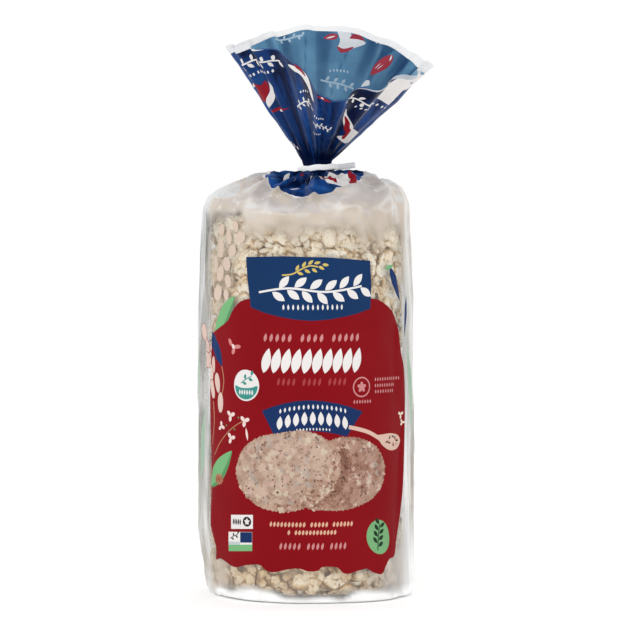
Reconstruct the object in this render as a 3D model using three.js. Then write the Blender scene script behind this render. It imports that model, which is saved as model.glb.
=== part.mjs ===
// A sealed clear bag of puffed rice cakes, standing on its flat base.
// The bag is one piece of film: a body drawn over a stack of round cakes, a gabled
// shoulder gathered into a neck, and the loose tail above the tie, which opens into a
// pleated fan. The tie is a flat strip round the neck with one end standing out.
// Millimetres, +Z up, origin at the centre of the base, front towards -Y.
import * as THREE from "three";
import { mergeVertices } from "three/addons/utils/BufferGeometryUtils.js";

// ---- The stack of cakes that the bag holds ----
const CAKE_COUNT = 11;
const CAKE_PITCH = 16.6; // one cake's thickness in the stack
const STACK_FOOT = 5; // folded film under the lowest cake
const STACK_TOP = STACK_FOOT + CAKE_COUNT * CAKE_PITCH;

// ---- Body of the bag ----
const HALF_DEPTH = 49.0; // film drawn tight over the cakes, front and back
const HALF_WIDTH = 53.6; // loose film stands off at both sides
const SIDE_SHARPNESS = 8; // how narrow the two side folds are
const TAPER = 2.1; // the top of the body is narrower than its middle by this
const BASE_CORNER = 4.4;
const FOOT_TUCK = 4.2; // the lower left of the bag draws in
const FOOT_EAR = 5; // a loose corner of film at the lower right of the front
const FOOT_HEIGHT = 36; // how far up from the base both reach

// ---- Shoulder: flat-topped at the sides, sloping at the front and back ----
const SHOULDER_FRONT = STACK_TOP - 1;
const SHOULDER_SIDE = STACK_TOP + 1.5;
const SHOULDER_ROUND_FRONT = 1.45; // exponent of the super-ellipse, 1 is a straight slope
const SHOULDER_ROUND_LEFT = 2.3;
const SHOULDER_ROUND_RIGHT = 3.0;

// ---- Neck ----
const NECK_X = 5.6; // the neck is gathered a little to the right of the middle
const NECK_RX = 7.7;
const NECK_RY = 6.5;
const NECK_BASE = 208.6;
const NECK_TOP = 215.9;
const GATHERS = 16; // folds of film round the neck, and pleats of the tail
const GATHER_LIFT = 0.9; // height of the folds where they leave the neck

// ---- Tail above the tie ----
const TAIL_WALL = 1.2; // thickness of the pleated wall as a solid
const TAIL_RIGHT = 46; // lean of each side from the vertical, degrees
const TAIL_LEFT = 33;
const TAIL_BACK = 14;
const TAIL_FRONT_LEFT = 30; // the front leans furthest at its right
const TAIL_FRONT_RIGHT = 66;
const TAIL_LENGTH = 69.2; // from the neck to the mouth
const TAIL_FRONT_SHORTER = 9.5; // the front of the mouth is cut lower
const TAIL_BACK_LONGER = 3.4;
const TAIL_CORNER_SHORTER = 1.5; // at the back left
const PLEAT_DEPTH = 2.1; // half the height of a pleat at the mouth
const THROAT = 0.17; // share of the tail's length that is gathered solid

// ---- Tie ----
const TIE_HEIGHT = 2.9;
const TIE_Z = 210.2;
const TIE_WALL = 1.7; // the band and the folds it bunches, as one thickness
const TIE_GAP = 0.5;
const TIE_TAIL = 7.2; // free end, beyond the loop
const TIE_TAIL_WIDTH = 1.5;
const TIE_TILT = THREE.MathUtils.degToRad(-4.5);

// ---- Fineness ----
const SEGMENTS = 96;
const WALL_RINGS = 11;

const { degToRad, lerp, clamp, smoothstep } = THREE.MathUtils;
const signedAngle = (a) => Math.atan2(Math.sin(a), Math.cos(a));

// Half-width of the body in direction a, at height z.
function bodyRadius(a, z) {
  const side = Math.pow(Math.abs(Math.cos(a)), SIDE_SHARPNESS);
  const middle = STACK_TOP / 2;
  const taper = TAPER * Math.pow(Math.max(0, z - middle) / middle, 2);
  const low = 1 - smoothstep(z, 0, FOOT_HEIGHT);
  const tuck = FOOT_TUCK * Math.pow(Math.max(0, -Math.cos(a)), 2) * low;
  const ear = FOOT_EAR * Math.pow(Math.max(0, Math.cos(a + degToRad(42))), 12) * low;
  return HALF_DEPTH + (HALF_WIDTH - HALF_DEPTH - taper) * side - tuck + ear;
}

function neckRadius(a) {
  const oval = Math.hypot(NECK_RX * Math.cos(a), NECK_RY * Math.sin(a));
  return oval + 0.35 * Math.cos(GATHERS * a);
}

// How far the tail leans from the vertical in direction a, as slopes along X and Y.
function tailSlope(a) {
  const c = Math.cos(a),
    s = Math.sin(a);
  const x = c * Math.tan(degToRad(c > 0 ? TAIL_RIGHT : TAIL_LEFT));
  const towardsRight = smoothstep(signedAngle(a), degToRad(-135), degToRad(-75));
  const front = lerp(TAIL_FRONT_LEFT, TAIL_FRONT_RIGHT, towardsRight);
  const y = s * Math.tan(degToRad(s > 0 ? TAIL_BACK : front));
  return new THREE.Vector3(x, y, 1).normalize();
}

function tailLength(a) {
  const front = Math.pow(Math.max(0, -Math.sin(a)), 1.2);
  const back = Math.pow(Math.max(0, Math.sin(a)), 2);
  const backLeft = Math.pow(Math.max(0, Math.cos(a - degToRad(148))), 6);
  return (
    TAIL_LENGTH -
    TAIL_FRONT_SHORTER * front +
    TAIL_BACK_LONGER * back -
    TAIL_CORNER_SHORTER * backLeft
  );
}

// A point of the tail's wall: share t of its length, offset by side * half the wall.
function tailPoint(a, t, side) {
  const along = tailSlope(a);
  const out = new THREE.Vector3(Math.cos(a), Math.sin(a), 0);
  out.addScaledVector(along, -out.dot(along)).normalize();
  const pleat =
    PLEAT_DEPTH * Math.pow(t, 0.8) * (0.75 + 0.25 * Math.cos(3 * a + 1)) +
    0.35 * (1 - t);
  const r = neckRadius(a) - 0.35 * Math.cos(GATHERS * a);
  const offset = pleat * Math.cos(GATHERS * a) + (side * TAIL_WALL) / 2;
  return new THREE.Vector3(NECK_X + r * Math.cos(a), r * Math.sin(a), NECK_TOP)
    .addScaledVector(along, tailLength(a) * t)
    .addScaledVector(out, offset);
}

// The stations of the bag's profile, from the middle of its base, up its outside and down
// the inside of the tail to the throat. Each gives the point for a direction a.
const stations = [];
const ring = (z, radius, centreX = 0, lift = () => 0) =>
  stations.push((a) => {
    const r = radius(a);
    return new THREE.Vector3(centreX + r * Math.cos(a), r * Math.sin(a), z + lift(a));
  });

// base
ring(0, () => 0);
for (const share of [0.5, 1])
  ring(0, (a) => share * (bodyRadius(a, 0) - BASE_CORNER));
// base corner
for (const turn of [30, 60, 90]) {
  const q = degToRad(turn);
  const z = BASE_CORNER * (1 - Math.cos(q));
  ring(z, (a) => bodyRadius(a, z) - BASE_CORNER * (1 - Math.sin(q)));
}
// wall
for (let i = 1; i <= WALL_RINGS; i++) {
  const t = i / WALL_RINGS;
  stations.push((a) => {
    const side = Math.pow(Math.abs(Math.cos(a)), 2);
    const z = lerp(BASE_CORNER, lerp(SHOULDER_FRONT, SHOULDER_SIDE, side), t);
    const r = bodyRadius(a, z);
    return new THREE.Vector3(r * Math.cos(a), r * Math.sin(a), z);
  });
}
// shoulder
const SHOULDER_TURNS = [14, 28, 42, 54, 64, 73, 81, 90];
for (const turn of SHOULDER_TURNS) {
  const q = degToRad(turn);
  stations.push((a) => {
    const side = Math.pow(Math.abs(Math.cos(a)), 2);
    const atSide = Math.cos(a) > 0 ? SHOULDER_ROUND_RIGHT : SHOULDER_ROUND_LEFT;
    const power = 2 / lerp(SHOULDER_ROUND_FRONT, atSide, side);
    const outward = Math.pow(Math.max(0, Math.cos(q)), power);
    const upward = Math.pow(Math.sin(q), power);
    const from = lerp(SHOULDER_FRONT, SHOULDER_SIDE, side);
    const r = lerp(neckRadius(a), bodyRadius(a, from), turn === 90 ? 0 : outward);
    const centre = NECK_X * (1 - (turn === 90 ? 0 : outward));
    const fold =
      GATHER_LIFT * Math.cos(GATHERS * a) * Math.sin(Math.PI * Math.pow(1 - outward, 1.6));
    const z = lerp(from, NECK_BASE, upward) + (turn === 90 ? 0 : fold);
    return new THREE.Vector3(centre + r * Math.cos(a), r * Math.sin(a), z);
  });
}
// neck
ring((NECK_BASE + NECK_TOP) / 2, neckRadius, NECK_X);
// outside of the tail, rim, and inside down to the throat
const TAIL_STEPS = [0, 0.12, 0.26, 0.42, 0.58, 0.72, 0.86, 1];
for (const t of TAIL_STEPS) stations.push((a) => tailPoint(a, t, t === 0 ? 0 : 1));
for (const t of [1, 0.86, 0.72, 0.58, 0.42, 0.28, THROAT])
  stations.push((a) => tailPoint(a, t, -1));
const throatRing = Array.from({ length: SEGMENTS }, (_, i) =>
  tailPoint((i / SEGMENTS) * 2 * Math.PI, THROAT, -1),
);
const throat = throatRing
  .reduce((sum, p) => sum.add(p), new THREE.Vector3())
  .divideScalar(SEGMENTS);
throat.z -= 1.5;
stations.push(() => throat.clone());

// A lathe gives the faces; each of its vertices is then placed by its station.
function bagGeometry() {
  const profile = stations.map((station) => {
    const p = station(0);
    return new THREE.Vector2(Math.abs(p.x), p.z);
  });
  const lathe = new THREE.LatheGeometry(profile, SEGMENTS);
  const position = lathe.getAttribute("position");
  for (let i = 0; i <= SEGMENTS; i++) {
    const a = ((i % SEGMENTS) / SEGMENTS) * 2 * Math.PI;
    stations.forEach((station, j) => {
      const p = station(a);
      position.setXYZ(i * stations.length + j, p.x, p.y, p.z);
    });
  }
  lathe.deleteAttribute("normal");
  lathe.deleteAttribute("uv");
  const closed = mergeVertices(lathe, 1e-4);
  closed.computeVertexNormals();
  return closed;
}

// The tie seen from above: a loop that fits the neck, drawn to a point at the left, with
// its free end at the right.
function tieGeometry() {
  const rx = NECK_RX + 0.35 + TIE_GAP,
    ry = NECK_RY + 0.35 + TIE_GAP;
  const STEPS = 40;
  const outline = [];
  for (let i = 0; i < STEPS; i++) {
    const a = degToRad(12) + (i / (STEPS - 1)) * degToRad(336);
    const tip = 0.9 * Math.pow(Math.max(0, -Math.cos(a)), 10);
    outline.push(
      new THREE.Vector2(
        (rx + TIE_WALL + tip) * Math.cos(a),
        (ry + TIE_WALL) * Math.sin(a),
      ),
    );
  }
  const reach = rx + TIE_WALL + TIE_TAIL;
  outline.push(new THREE.Vector2(reach, -TIE_TAIL_WIDTH));
  outline.push(new THREE.Vector2(reach + 0.6, -TIE_TAIL_WIDTH / 2));
  outline.push(new THREE.Vector2(reach, 0.1));
  outline.push(new THREE.Vector2(rx + TIE_WALL + 1.6, TIE_TAIL_WIDTH / 2));
  const shape = new THREE.Shape(outline);
  const hole = new THREE.Path();
  hole.absellipse(0, 0, rx, ry, 0, 2 * Math.PI, true);
  shape.holes.push(hole);
  const solid = new THREE.ExtrudeGeometry(shape, {
    depth: TIE_HEIGHT - 0.6,
    bevelEnabled: true,
    bevelThickness: 0.3,
    bevelSize: 0.25,
    bevelOffset: -0.25,
    bevelSegments: 1,
    curveSegments: 20,
  });
  return solid.translate(0, 0, 0.3);
}

const film = new THREE.MeshStandardMaterial({
  color: 0xd9d2c6,
  roughness: 0.25,
  metalness: 0,
});
const strip = new THREE.MeshStandardMaterial({
  color: 0xf2f3f2,
  roughness: 0.45,
  metalness: 0,
});

const bagOfRiceCakes = new THREE.Group();

const bag = new THREE.Mesh(bagGeometry(), film);
bag.name = "bag";
bagOfRiceCakes.add(bag);

const tie = new THREE.Mesh(tieGeometry(), strip);
tie.name = "tie";
tie.position.set(NECK_X, 0, TIE_Z);
tie.rotation.set(0, TIE_TILT, 0);
bagOfRiceCakes.add(tie);

export default bagOfRiceCakes;
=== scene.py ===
"""A sealed clear bag of puffed rice cakes, standing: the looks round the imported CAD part."""

import math

import bpy
import numpy as np
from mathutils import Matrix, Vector
from mathutils.geometry import delaunay_2d_cdt


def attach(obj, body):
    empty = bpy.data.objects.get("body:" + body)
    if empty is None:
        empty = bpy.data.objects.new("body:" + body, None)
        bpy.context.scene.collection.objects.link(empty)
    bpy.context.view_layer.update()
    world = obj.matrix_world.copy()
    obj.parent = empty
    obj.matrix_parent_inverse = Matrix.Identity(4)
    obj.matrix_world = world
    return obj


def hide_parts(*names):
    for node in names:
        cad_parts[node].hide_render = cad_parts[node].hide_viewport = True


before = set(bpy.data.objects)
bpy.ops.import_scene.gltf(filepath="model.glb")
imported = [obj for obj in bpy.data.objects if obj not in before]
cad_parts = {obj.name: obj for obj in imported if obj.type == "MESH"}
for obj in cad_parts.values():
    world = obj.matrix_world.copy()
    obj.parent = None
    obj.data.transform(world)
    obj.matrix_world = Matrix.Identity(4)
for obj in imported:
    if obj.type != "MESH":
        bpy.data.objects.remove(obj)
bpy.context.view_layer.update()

PI = math.pi
MM = 0.001

# ------------------------------------------------------------------ sizes, in millimetres
CAKES = 11
CAKE_PITCH = 16.6
CAKE_RADIUS = 47.3
STACK_FOOT = 5.0
STACK_TOP = STACK_FOOT + CAKES * CAKE_PITCH

HALF_DEPTH, HALF_WIDTH, TAPER, BASE_CORNER = 49.0, 53.6, 2.1, 4.4
SHOULDER_FRONT, SHOULDER_SIDE = STACK_TOP - 1, STACK_TOP + 1.5
ROUND_FRONT, ROUND_LEFT, ROUND_RIGHT = 1.45, 2.3, 3.0
NECK_X, NECK_RX, NECK_RY, NECK_BASE, NECK_TOP = 5.6, 7.7, 6.5, 208.6, 215.9

WALL = 186.0  # film height from the floor to the shoulder, along v
SHOULDER = 60.0  # from the shoulder to the neck, along v
NECK = 4.0
FILM_TOP = WALL + SHOULDER + NECK
UNWRAP = 49.0  # u is this times the angle from the front

TAIL_SPAN = 70.0  # the tail's domain, neck to mouth, whatever its true length


# ------------------------------------------------------------------ small tools
def smooth(x, a, b):
    t = np.clip((x - a) / (b - a), 0, 1)
    return t * t * (3 - 2 * t)


def mix(a, b, t):
    return a + (b - a) * t


def noise(x, y, seed, wrap=64):
    """Smooth noise from -1 to 1, which repeats every wrap cells along x."""
    grid = np.random.default_rng(seed).random((wrap, 64)) * 2 - 1
    xi, yi = np.floor(x).astype(int), np.floor(y).astype(int)
    fx, fy = x - xi, y - yi
    fx, fy = fx * fx * (3 - 2 * fx), fy * fy * (3 - 2 * fy)
    a, b = grid[xi % wrap, yi % 64], grid[(xi + 1) % wrap, yi % 64]
    c, d = grid[xi % wrap, (yi + 1) % 64], grid[(xi + 1) % wrap, (yi + 1) % 64]
    return mix(mix(a, b, fx), mix(c, d, fx), fy)


def ridges(x, y, seed, wrap=64):
    """Sharp-topped folds, 0 to 1."""
    return 1 - np.abs(noise(x, y, seed, wrap)) * 2


def new_mesh(name, verts, faces, materials, index=None, flat=False):
    mesh = bpy.data.meshes.new(name)
    verts = np.asarray(verts, dtype=np.float32) * MM
    faces = np.asarray(faces, dtype=np.int32)
    n, k = faces.shape
    mesh.vertices.add(len(verts))
    mesh.vertices.foreach_set("co", verts.ravel())
    mesh.loops.add(n * k)
    mesh.loops.foreach_set("vertex_index", faces.ravel())
    mesh.polygons.add(n)
    mesh.polygons.foreach_set("loop_start", np.arange(0, n * k, k, dtype=np.int32))
    mesh.polygons.foreach_set("loop_total", np.full(n, k, dtype=np.int32))
    for m in materials:
        mesh.materials.append(m)
    if index is not None:
        mesh.polygons.foreach_set("material_index", np.asarray(index, dtype=np.int32))
    mesh.polygons.foreach_set("use_smooth", np.full(n, not flat, dtype=bool))
    mesh.update(calc_edges=True)
    mesh.validate()
    ob = bpy.data.objects.new(name, mesh)
    bpy.context.scene.collection.objects.link(ob)
    return ob


def point_values(ob, name, values):
    attribute = ob.data.attributes.new(name, "FLOAT", "POINT")
    attribute.data.foreach_set("value", np.asarray(values, dtype=np.float32))


UNDER_LIGHT = 0.82  # the studio's light is a little over one


def srgb(r, g, b):
    """A colour given as 0 to 255, as it comes out on a lit surface."""

    def lin(c):
        c /= 255
        return UNDER_LIGHT * (c / 12.92 if c <= 0.04045 else ((c + 0.055) / 1.055) ** 2.4)

    return (lin(r), lin(g), lin(b), 1)


# ------------------------------------------------------------------ materials
class Nodes:
    def __init__(self, name):
        self.mat = bpy.data.materials.new(name)
        self.mat.use_nodes = True
        self.tree = self.mat.node_tree
        self.tree.nodes.clear()
        self.out = self.add("ShaderNodeOutputMaterial")

    def add(self, kind, **values):
        n = self.tree.nodes.new(kind)
        for k, v in values.items():
            setattr(n, k, v)
        return n

    def link(self, a, b):
        self.tree.links.new(a, b)

    def coords(self, scale=(1, 1, 1)):
        tc = self.add("ShaderNodeTexCoord")
        mp = self.add("ShaderNodeMapping")
        mp.inputs["Scale"].default_value = scale
        self.link(tc.outputs["Object"], mp.inputs["Vector"])
        return mp.outputs["Vector"]

    def noise(self, scale, detail=3, rough=0.55, stretch=(1, 1, 1)):
        n = self.add("ShaderNodeTexNoise")
        n.inputs["Scale"].default_value = scale
        n.inputs["Detail"].default_value = detail
        n.inputs["Roughness"].default_value = rough
        self.link(self.coords(stretch), n.inputs["Vector"])
        return n.outputs["Fac"]

    def ramp(self, source, stops):
        r = self.add("ShaderNodeValToRGB")
        e = r.color_ramp.elements
        while len(e) < len(stops):
            e.new(0.5)
        for item, (at, colour) in zip(e, stops):
            item.position, item.color = at, colour
        self.link(source, r.inputs["Fac"])
        return r.outputs["Color"]

    def attribute(self, name):
        a = self.add("ShaderNodeAttribute")
        a.attribute_name = name
        return a.outputs["Fac"]

    def math(self, op, a, b=None, clamp=False):
        m = self.add("ShaderNodeMath", operation=op, use_clamp=clamp)
        for i, v in enumerate((a, b)):
            if v is None:
                continue
            if isinstance(v, (int, float)):
                m.inputs[i].default_value = v
            else:
                self.link(v, m.inputs[i])
        return m.outputs[0]

    def mix(self, fac, a, b, kind="MIX"):
        m = self.add("ShaderNodeMix", data_type="RGBA", blend_type=kind)
        for socket, v in ((m.inputs["Factor"], fac), (m.inputs[6], a), (m.inputs[7], b)):
            if isinstance(v, (int, float, tuple)):
                socket.default_value = v
            else:
                self.link(v, socket)
        return m.outputs[2]

    def bump(self, height, strength, distance):
        b = self.add("ShaderNodeBump")
        b.inputs["Strength"].default_value = strength
        b.inputs["Distance"].default_value = distance
        self.link(height, b.inputs["Height"])
        return b.outputs["Normal"]

    def principled(self, **inputs):
        p = self.add("ShaderNodeBsdfPrincipled")
        for k, v in inputs.items():
            socket = p.inputs[k.replace("_", " ")]
            if isinstance(v, (int, float, tuple)):
                socket.default_value = v
            else:
                self.link(v, socket)
        return p

    def finish(self, shader):
        self.link(shader, self.out.inputs["Surface"])
        return self.mat


def ink(name, colour, spread=0.10, rough=0.42):
    """A printed colour on film: slightly uneven, softly glossy, over an uneven surface."""
    n = Nodes(name)
    dark = tuple(c * (1 - spread) for c in colour[:3]) + (1,)
    light = tuple(min(1, c * (1 + spread) + 0.001) for c in colour[:3]) + (1,)
    tint = n.ramp(n.noise(28, 3), [(0.3, dark), (0.7, light)])
    normal = n.bump(n.noise(75, 2), 0.2, 0.0012)
    p = n.principled(
        Base_Color=tint, Roughness=rough, Specular_IOR_Level=0.06, Normal=normal
    )
    return n.finish(p.outputs[0])


def film(name, tints, gloss=0.30, rough=0.28, fixed=None, streaks=0.0, bump=0.22):
    """Clear film. Its haze, and so how much shows through, comes from the mesh."""
    n = Nodes(name)
    if len(tints) == 1:
        cool = tints[0]
        tint = n.ramp(n.noise(40, 2), [(0.3, tuple(c * 0.97 for c in cool[:3]) + (1,)), (0.7, cool)])
    else:
        tint = n.ramp(n.attribute("warm"), list(zip((0.0, 0.5, 1.0), tints)))
        cloud = n.ramp(n.noise(24, 2), [(0.32, (0.93, 0.925, 0.92, 1)), (0.62, (1, 1, 1, 1))])
        tint = n.mix(1.0, tint, cloud, "MULTIPLY")
        # painted shade: dark streaks along the loose film's wrinkles, with lighter film between them, where the loose
        # mask allows
        painted_streak_shade = n.ramp(
            n.noise(210, 2, stretch=(1, 1, 0.05)),
            [(0.38, (1 - streaks, 1 - streaks * 0.97, 1 - streaks * 1.03, 1)), (0.56, (0.94, 0.945, 0.94, 1))],
        )
        painted_streak_shade = n.mix(n.attribute("loose"), (1, 1, 1, 1), painted_streak_shade)
        tint = n.mix(1.0, tint, painted_streak_shade, "MULTIPLY")
        # the pale mask lifts the tint to white: partly the film's own whiteness, partly painted light and painted
        # highlights
        tint = n.mix(n.attribute("pale"), tint, (0.97, 0.97, 0.97, 1))
    p = n.principled(
        Base_Color=tint,
        Roughness=rough,
        Specular_IOR_Level=0.5,
        Normal=n.bump(n.noise(120, 2, stretch=(1, 1, 0.35)), bump, 0.0010),
    )
    clear = n.add("ShaderNodeBsdfTransparent")
    clear.inputs[0].default_value = (0.985, 0.985, 0.98, 1)
    edge = n.add("ShaderNodeLayerWeight")
    edge.inputs["Blend"].default_value = 0.25
    haze = n.attribute("haze") if fixed is None else n.math("MULTIPLY", n.noise(18, 1), 2 * fixed)
    fac = n.math("ADD", haze, n.math("MULTIPLY", edge.outputs["Fresnel"], gloss), clamp=True)
    m = n.add("ShaderNodeMixShader")
    n.link(fac, m.inputs[0])
    n.link(clear.outputs[0], m.inputs[1])
    n.link(p.outputs[0], m.inputs[2])
    return n.finish(m.outputs[0])


# ------------------------------------------------------------------ the film's form
def body_radius(a, z):
    side = np.abs(np.cos(a)) ** 8
    middle = STACK_TOP / 2
    taper = TAPER * (np.maximum(0, z - middle) / middle) ** 2
    low = 1 - smooth(z, 0, 36)
    tuck = 4.2 * np.maximum(0, -np.cos(a)) ** 2 * low
    ear = 5 * np.maximum(0, np.cos(a + math.radians(42))) ** 12 * low
    return HALF_DEPTH + (HALF_WIDTH - HALF_DEPTH - taper) * side - tuck + ear


def base_corner(a):
    """How far the film rounds under at the floor: most at the two sides."""
    return mix(1.9, BASE_CORNER, np.cos(a) ** 2)


def neck_radius(a):
    return np.hypot(NECK_RX * np.cos(a), NECK_RY * np.sin(a))


def film_point(a, v):
    """The film's place at angle a and height v: the wall, the shoulder, then the neck."""
    side = np.cos(a) ** 2
    start = mix(SHOULDER_FRONT, SHOULDER_SIDE, side)
    z = np.clip(v, 0, WALL) * start / WALL
    corner = base_corner(a)
    c = np.clip((corner - z) / corner, 0, 1)
    r = body_radius(a, z) - corner * (1 - np.sqrt(1 - c * c))
    q = np.clip((v - WALL) / SHOULDER, 0, 1) * PI / 2
    power = 2 / mix(ROUND_FRONT, np.where(np.cos(a) > 0, ROUND_RIGHT, ROUND_LEFT), side)
    outward = np.where(v >= WALL + SHOULDER, 0, np.cos(q) ** power)
    top = v > WALL
    r = np.where(top, mix(neck_radius(a), body_radius(a, start), outward), r)
    z = np.where(
        top, mix(start, NECK_BASE, np.sin(q) ** power) + np.maximum(0, v - WALL - SHOULDER), z
    )
    x = np.where(top, NECK_X * (1 - outward), 0)
    return np.stack([x + r * np.cos(a), r * np.sin(a), z], -1)


def tail_dir(a):
    c, s = np.cos(a), np.sin(a)
    x = c * np.tan(np.radians(np.where(c > 0, 46, 33)))
    lean = mix(30, 66, smooth(np.arctan2(s, c), math.radians(-135), math.radians(-75)))
    y = s * np.tan(np.radians(np.where(s > 0, 14, lean)))
    d = np.stack([x, y, np.ones_like(x)], -1)
    return d / np.linalg.norm(d, axis=-1, keepdims=True)


def tail_length(a):
    front = np.maximum(0, -np.sin(a)) ** 1.2
    back = np.maximum(0, np.sin(a)) ** 2
    corner = np.maximum(0, np.cos(a - math.radians(148))) ** 6
    return 69.2 - 9.5 * front + 3.4 * back - 1.5 * corner


def normals_of(point, a, v, da=0.004, dv=0.4):
    n = np.cross(point(a + da, v) - point(a - da, v), point(a, v + dv) - point(a, v - dv))
    return n / np.maximum(np.linalg.norm(n, axis=-1, keepdims=True), 1e-9)


def side_share(a):
    return smooth(np.abs(np.cos(a)), 0.80, 0.97)


def film_folds(a, v):
    """How far the film stands off its plain form, in mm."""
    u = (a + PI / 2) * UNWRAP
    wrap = 77  # cells round the bag, 4 mm each
    cell = u / (2 * PI * UNWRAP) * wrap
    on_wall = 1 - smooth(v, WALL - 8, WALL + 14)
    lean = 0.8 * np.sin(v / 47 + 1.3)
    streaks = ridges(cell * 1.0 + lean, v / 60, 11, wrap) - 0.4
    fine = noise(cell * 2 + 1.7 * lean, v / 34, 12, wrap * 2)
    d = side_share(a) * on_wall * (1.15 * streaks + 0.35 * fine)
    d += 0.25 * (1 - side_share(a)) * on_wall * noise(cell * 0.5, v / 18, 13, wrap)
    foot = 1 - smooth(v, 4, 22)
    d += foot * (0.9 * noise(cell * 1.0, v / 9, 14, wrap) - 0.2) * smooth(v, 0, 2.5)
    t = np.clip((v - WALL) / SHOULDER, 0, 1)
    over = smooth(t, 0.02, 0.30) * (1 - smooth(t, 0.93, 1.0))
    swirl = 1.2 * np.sin(3 * a + 0.7) * t
    radial = ridges(cell * 0.34 + swirl, t * 1.5, 15, 26) - 0.45
    small = noise(cell * 1.0 + 2 * swirl, t * 3, 16, wrap)
    gathers = ridges(a / (2 * PI) * 22 + 0.8 * smooth(v, 200, 246), t * 2, 33, 22) - 0.5
    close = smooth(t, 0.42, 0.75)
    calm = 1 - 0.6 * smooth(np.abs(np.cos(a)), 0.86, 0.98)
    d += over * (calm * mix(1.8, 1.0, close) * radial + 0.5 * calm * small - 2.0 * close * gathers)
    d += 0.25 * over * noise(cell * 2.0, v / 5, 17, wrap * 2)
    turning = smooth(v, 168, 184) * (1 - smooth(v, 204, 222))
    turned = 0.5 + 0.9 * noise(cell * 32 / 77, v / 11, 69, 32) + 0.45 * noise(cell * 85 / 77, v / 6, 70, 85)
    d += turning * (1 - 0.85 * side_share(a)) * turned
    crumple = ridges(cell * 0.8 + 1.5 * t, v / 5.5, 18, 62) - 0.45
    d += 1.2 * over * smooth(t, 0.46, 0.66) * crumple
    return d


def film_surface(a, v):
    p = film_point(a, v)
    n = normals_of(film_point, a, v)
    n *= np.sign((n[:, 0] * np.cos(a) + n[:, 1] * np.sin(a) + 0.3 * n[:, 2]))[:, None]
    p = p + n * film_folds(a, v)[:, None]
    p[:, 2] = np.maximum(p[:, 2], 0.15)
    return p


def loose_share(a):
    """1 where the film stands clear of the cakes, at the two sides."""
    return smooth(np.abs(np.cos(a)), 0.895, 0.945)


def film_haze(a, v):
    """How milky the film is: more at the loose sides, over the shoulder and at the foot."""
    u = (a + PI / 2) * UNWRAP
    cell = u / (2 * PI * UNWRAP) * 77
    lean = 0.8 * np.sin(v / 47 + 1.3)
    side = loose_share(a)
    streak = ridges(cell * 1.6 + lean, v / 55, 21, 123)
    low_streak = noise(cell * 0.5, v / 40, 22, 38)
    t = np.clip((v - WALL) / SHOULDER, 0, 1)
    base = 0.11 + 0.05 * noise(cell * 0.4, v / 22, 23, 31)
    sides = 0.42 + 0.26 * streak + 0.16 * low_streak
    h = mix(base, sides, side * (1 - smooth(t, 0.1, 0.5)))
    rise = v + 5 * noise(cell * 0.22, v / 18, 26, 17) + 5 * noise(cell * 0.7, v / 8, 27, 54)
    rise = rise + 3 * np.exp(-(((u - 4) / 26) ** 2)) - 6 * np.exp(-(((u + 42) / 12) ** 2))
    sway = v + 9 * noise(cell * 0.30, v / 15, 67, 23) + 5 * noise(cell * 0.8, v / 7, 68, 62)
    top = 0.94 - 0.06 * smooth(sway, 194, 216) + 0.03 * smooth(v, 220, 236)
    top = top + 0.04 * noise(cell * 0.34, t * 3, 24, 26)
    h = mix(h, top, smooth(rise, 173, 186))
    low_right = smooth(u, 49, 62) * (1 - smooth(u, 96, 110)) * (1 - smooth(v, 20, 44))
    beside = smooth(u, 30, 44) * (1 - smooth(u, 62, 72)) * (1 - smooth(v, 18, 36))
    h = mix(h, 0.45, beside)
    glow = smooth(-u, 34, 46) * (1 - smooth(-u, 56, 64)) * smooth(v, 96, 120) * (1 - smooth(v, 180, 189))
    h = mix(h, 0.27, glow)
    low_left = smooth(-u, 34, 52) * (1 - smooth(-u, 84, 100)) * (1 - smooth(v, 14, 34))
    h = mix(h, mix(0.90, 0.74, smooth(v, 12, 26)), low_right)
    h = mix(h, 0.44, low_left)
    drop = v + 3.0 * noise(cell * 0.45, v / 9, 28, 35) + 1.4 * side
    foot = 0.92 + 0.06 * noise(cell, v / 5, 25, 77)
    h = mix(foot, h, smooth(drop, 2.8, 6.4))
    return np.clip(h, 0.03, 0.97)


def film_warm(a, v):
    """0 cool, 0.5 cream where the cakes' colour glows through, 1 the greyer middle of the shoulder, with painted light
    and shade patches over the crumpled shoulder.
    """
    u = (a + PI / 2) * UNWRAP
    cell = u / (2 * PI * UNWRAP) * 77
    across = smooth(u, -62, -40) * (1 - smooth(u, 62, 92))
    centre = smooth(u, -46, -14) * (1 - smooth(u, 22, 56))
    behind = 0.4 * smooth(np.abs(u), 96, 128) * smooth(v, 150, 184)
    sway = v + 9 * noise(cell * 0.30, v / 15, 67, 23) + 5 * noise(cell * 0.8, v / 7, 68, 62)
    w = 0.5 * across * smooth(v, 146, 170) + 0.5 * centre * smooth(sway, 186, 216)
    w = np.maximum(w, behind) + 0.10 * noise(cell * 0.3, v / 13, 29, 23) * smooth(v, 146, 170)
    low_left = smooth(-u, 30, 48) * (1 - smooth(-u, 66, 80)) * (1 - smooth(v, 16, 34))
    beside = smooth(u, 30, 44) * (1 - smooth(u, 54, 62)) * (1 - smooth(v, 18, 36))
    glow = smooth(-u, 34, 46) * (1 - smooth(-u, 56, 64)) * smooth(v, 96, 120)
    w = np.maximum(w, 0.5 * np.maximum(np.maximum(low_left, beside), glow))
    # painted light and shade: lighter and darker patches for the crumpled shoulder's facets
    painted_facet_shade = noise(cell * 0.62 + v / 30, v / 7.5, 63, 48)
    painted_facet_shade = smooth(painted_facet_shade, 0.02, 0.14) - smooth(-painted_facet_shade, 0.08, 0.20)
    w = w + 0.42 * painted_facet_shade * smooth(sway, 178, 200) * (1 - 0.5 * smooth(v, 226, 240)) * smooth(w, 0.05, 0.3)
    return np.clip(w, 0, 1)


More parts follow.
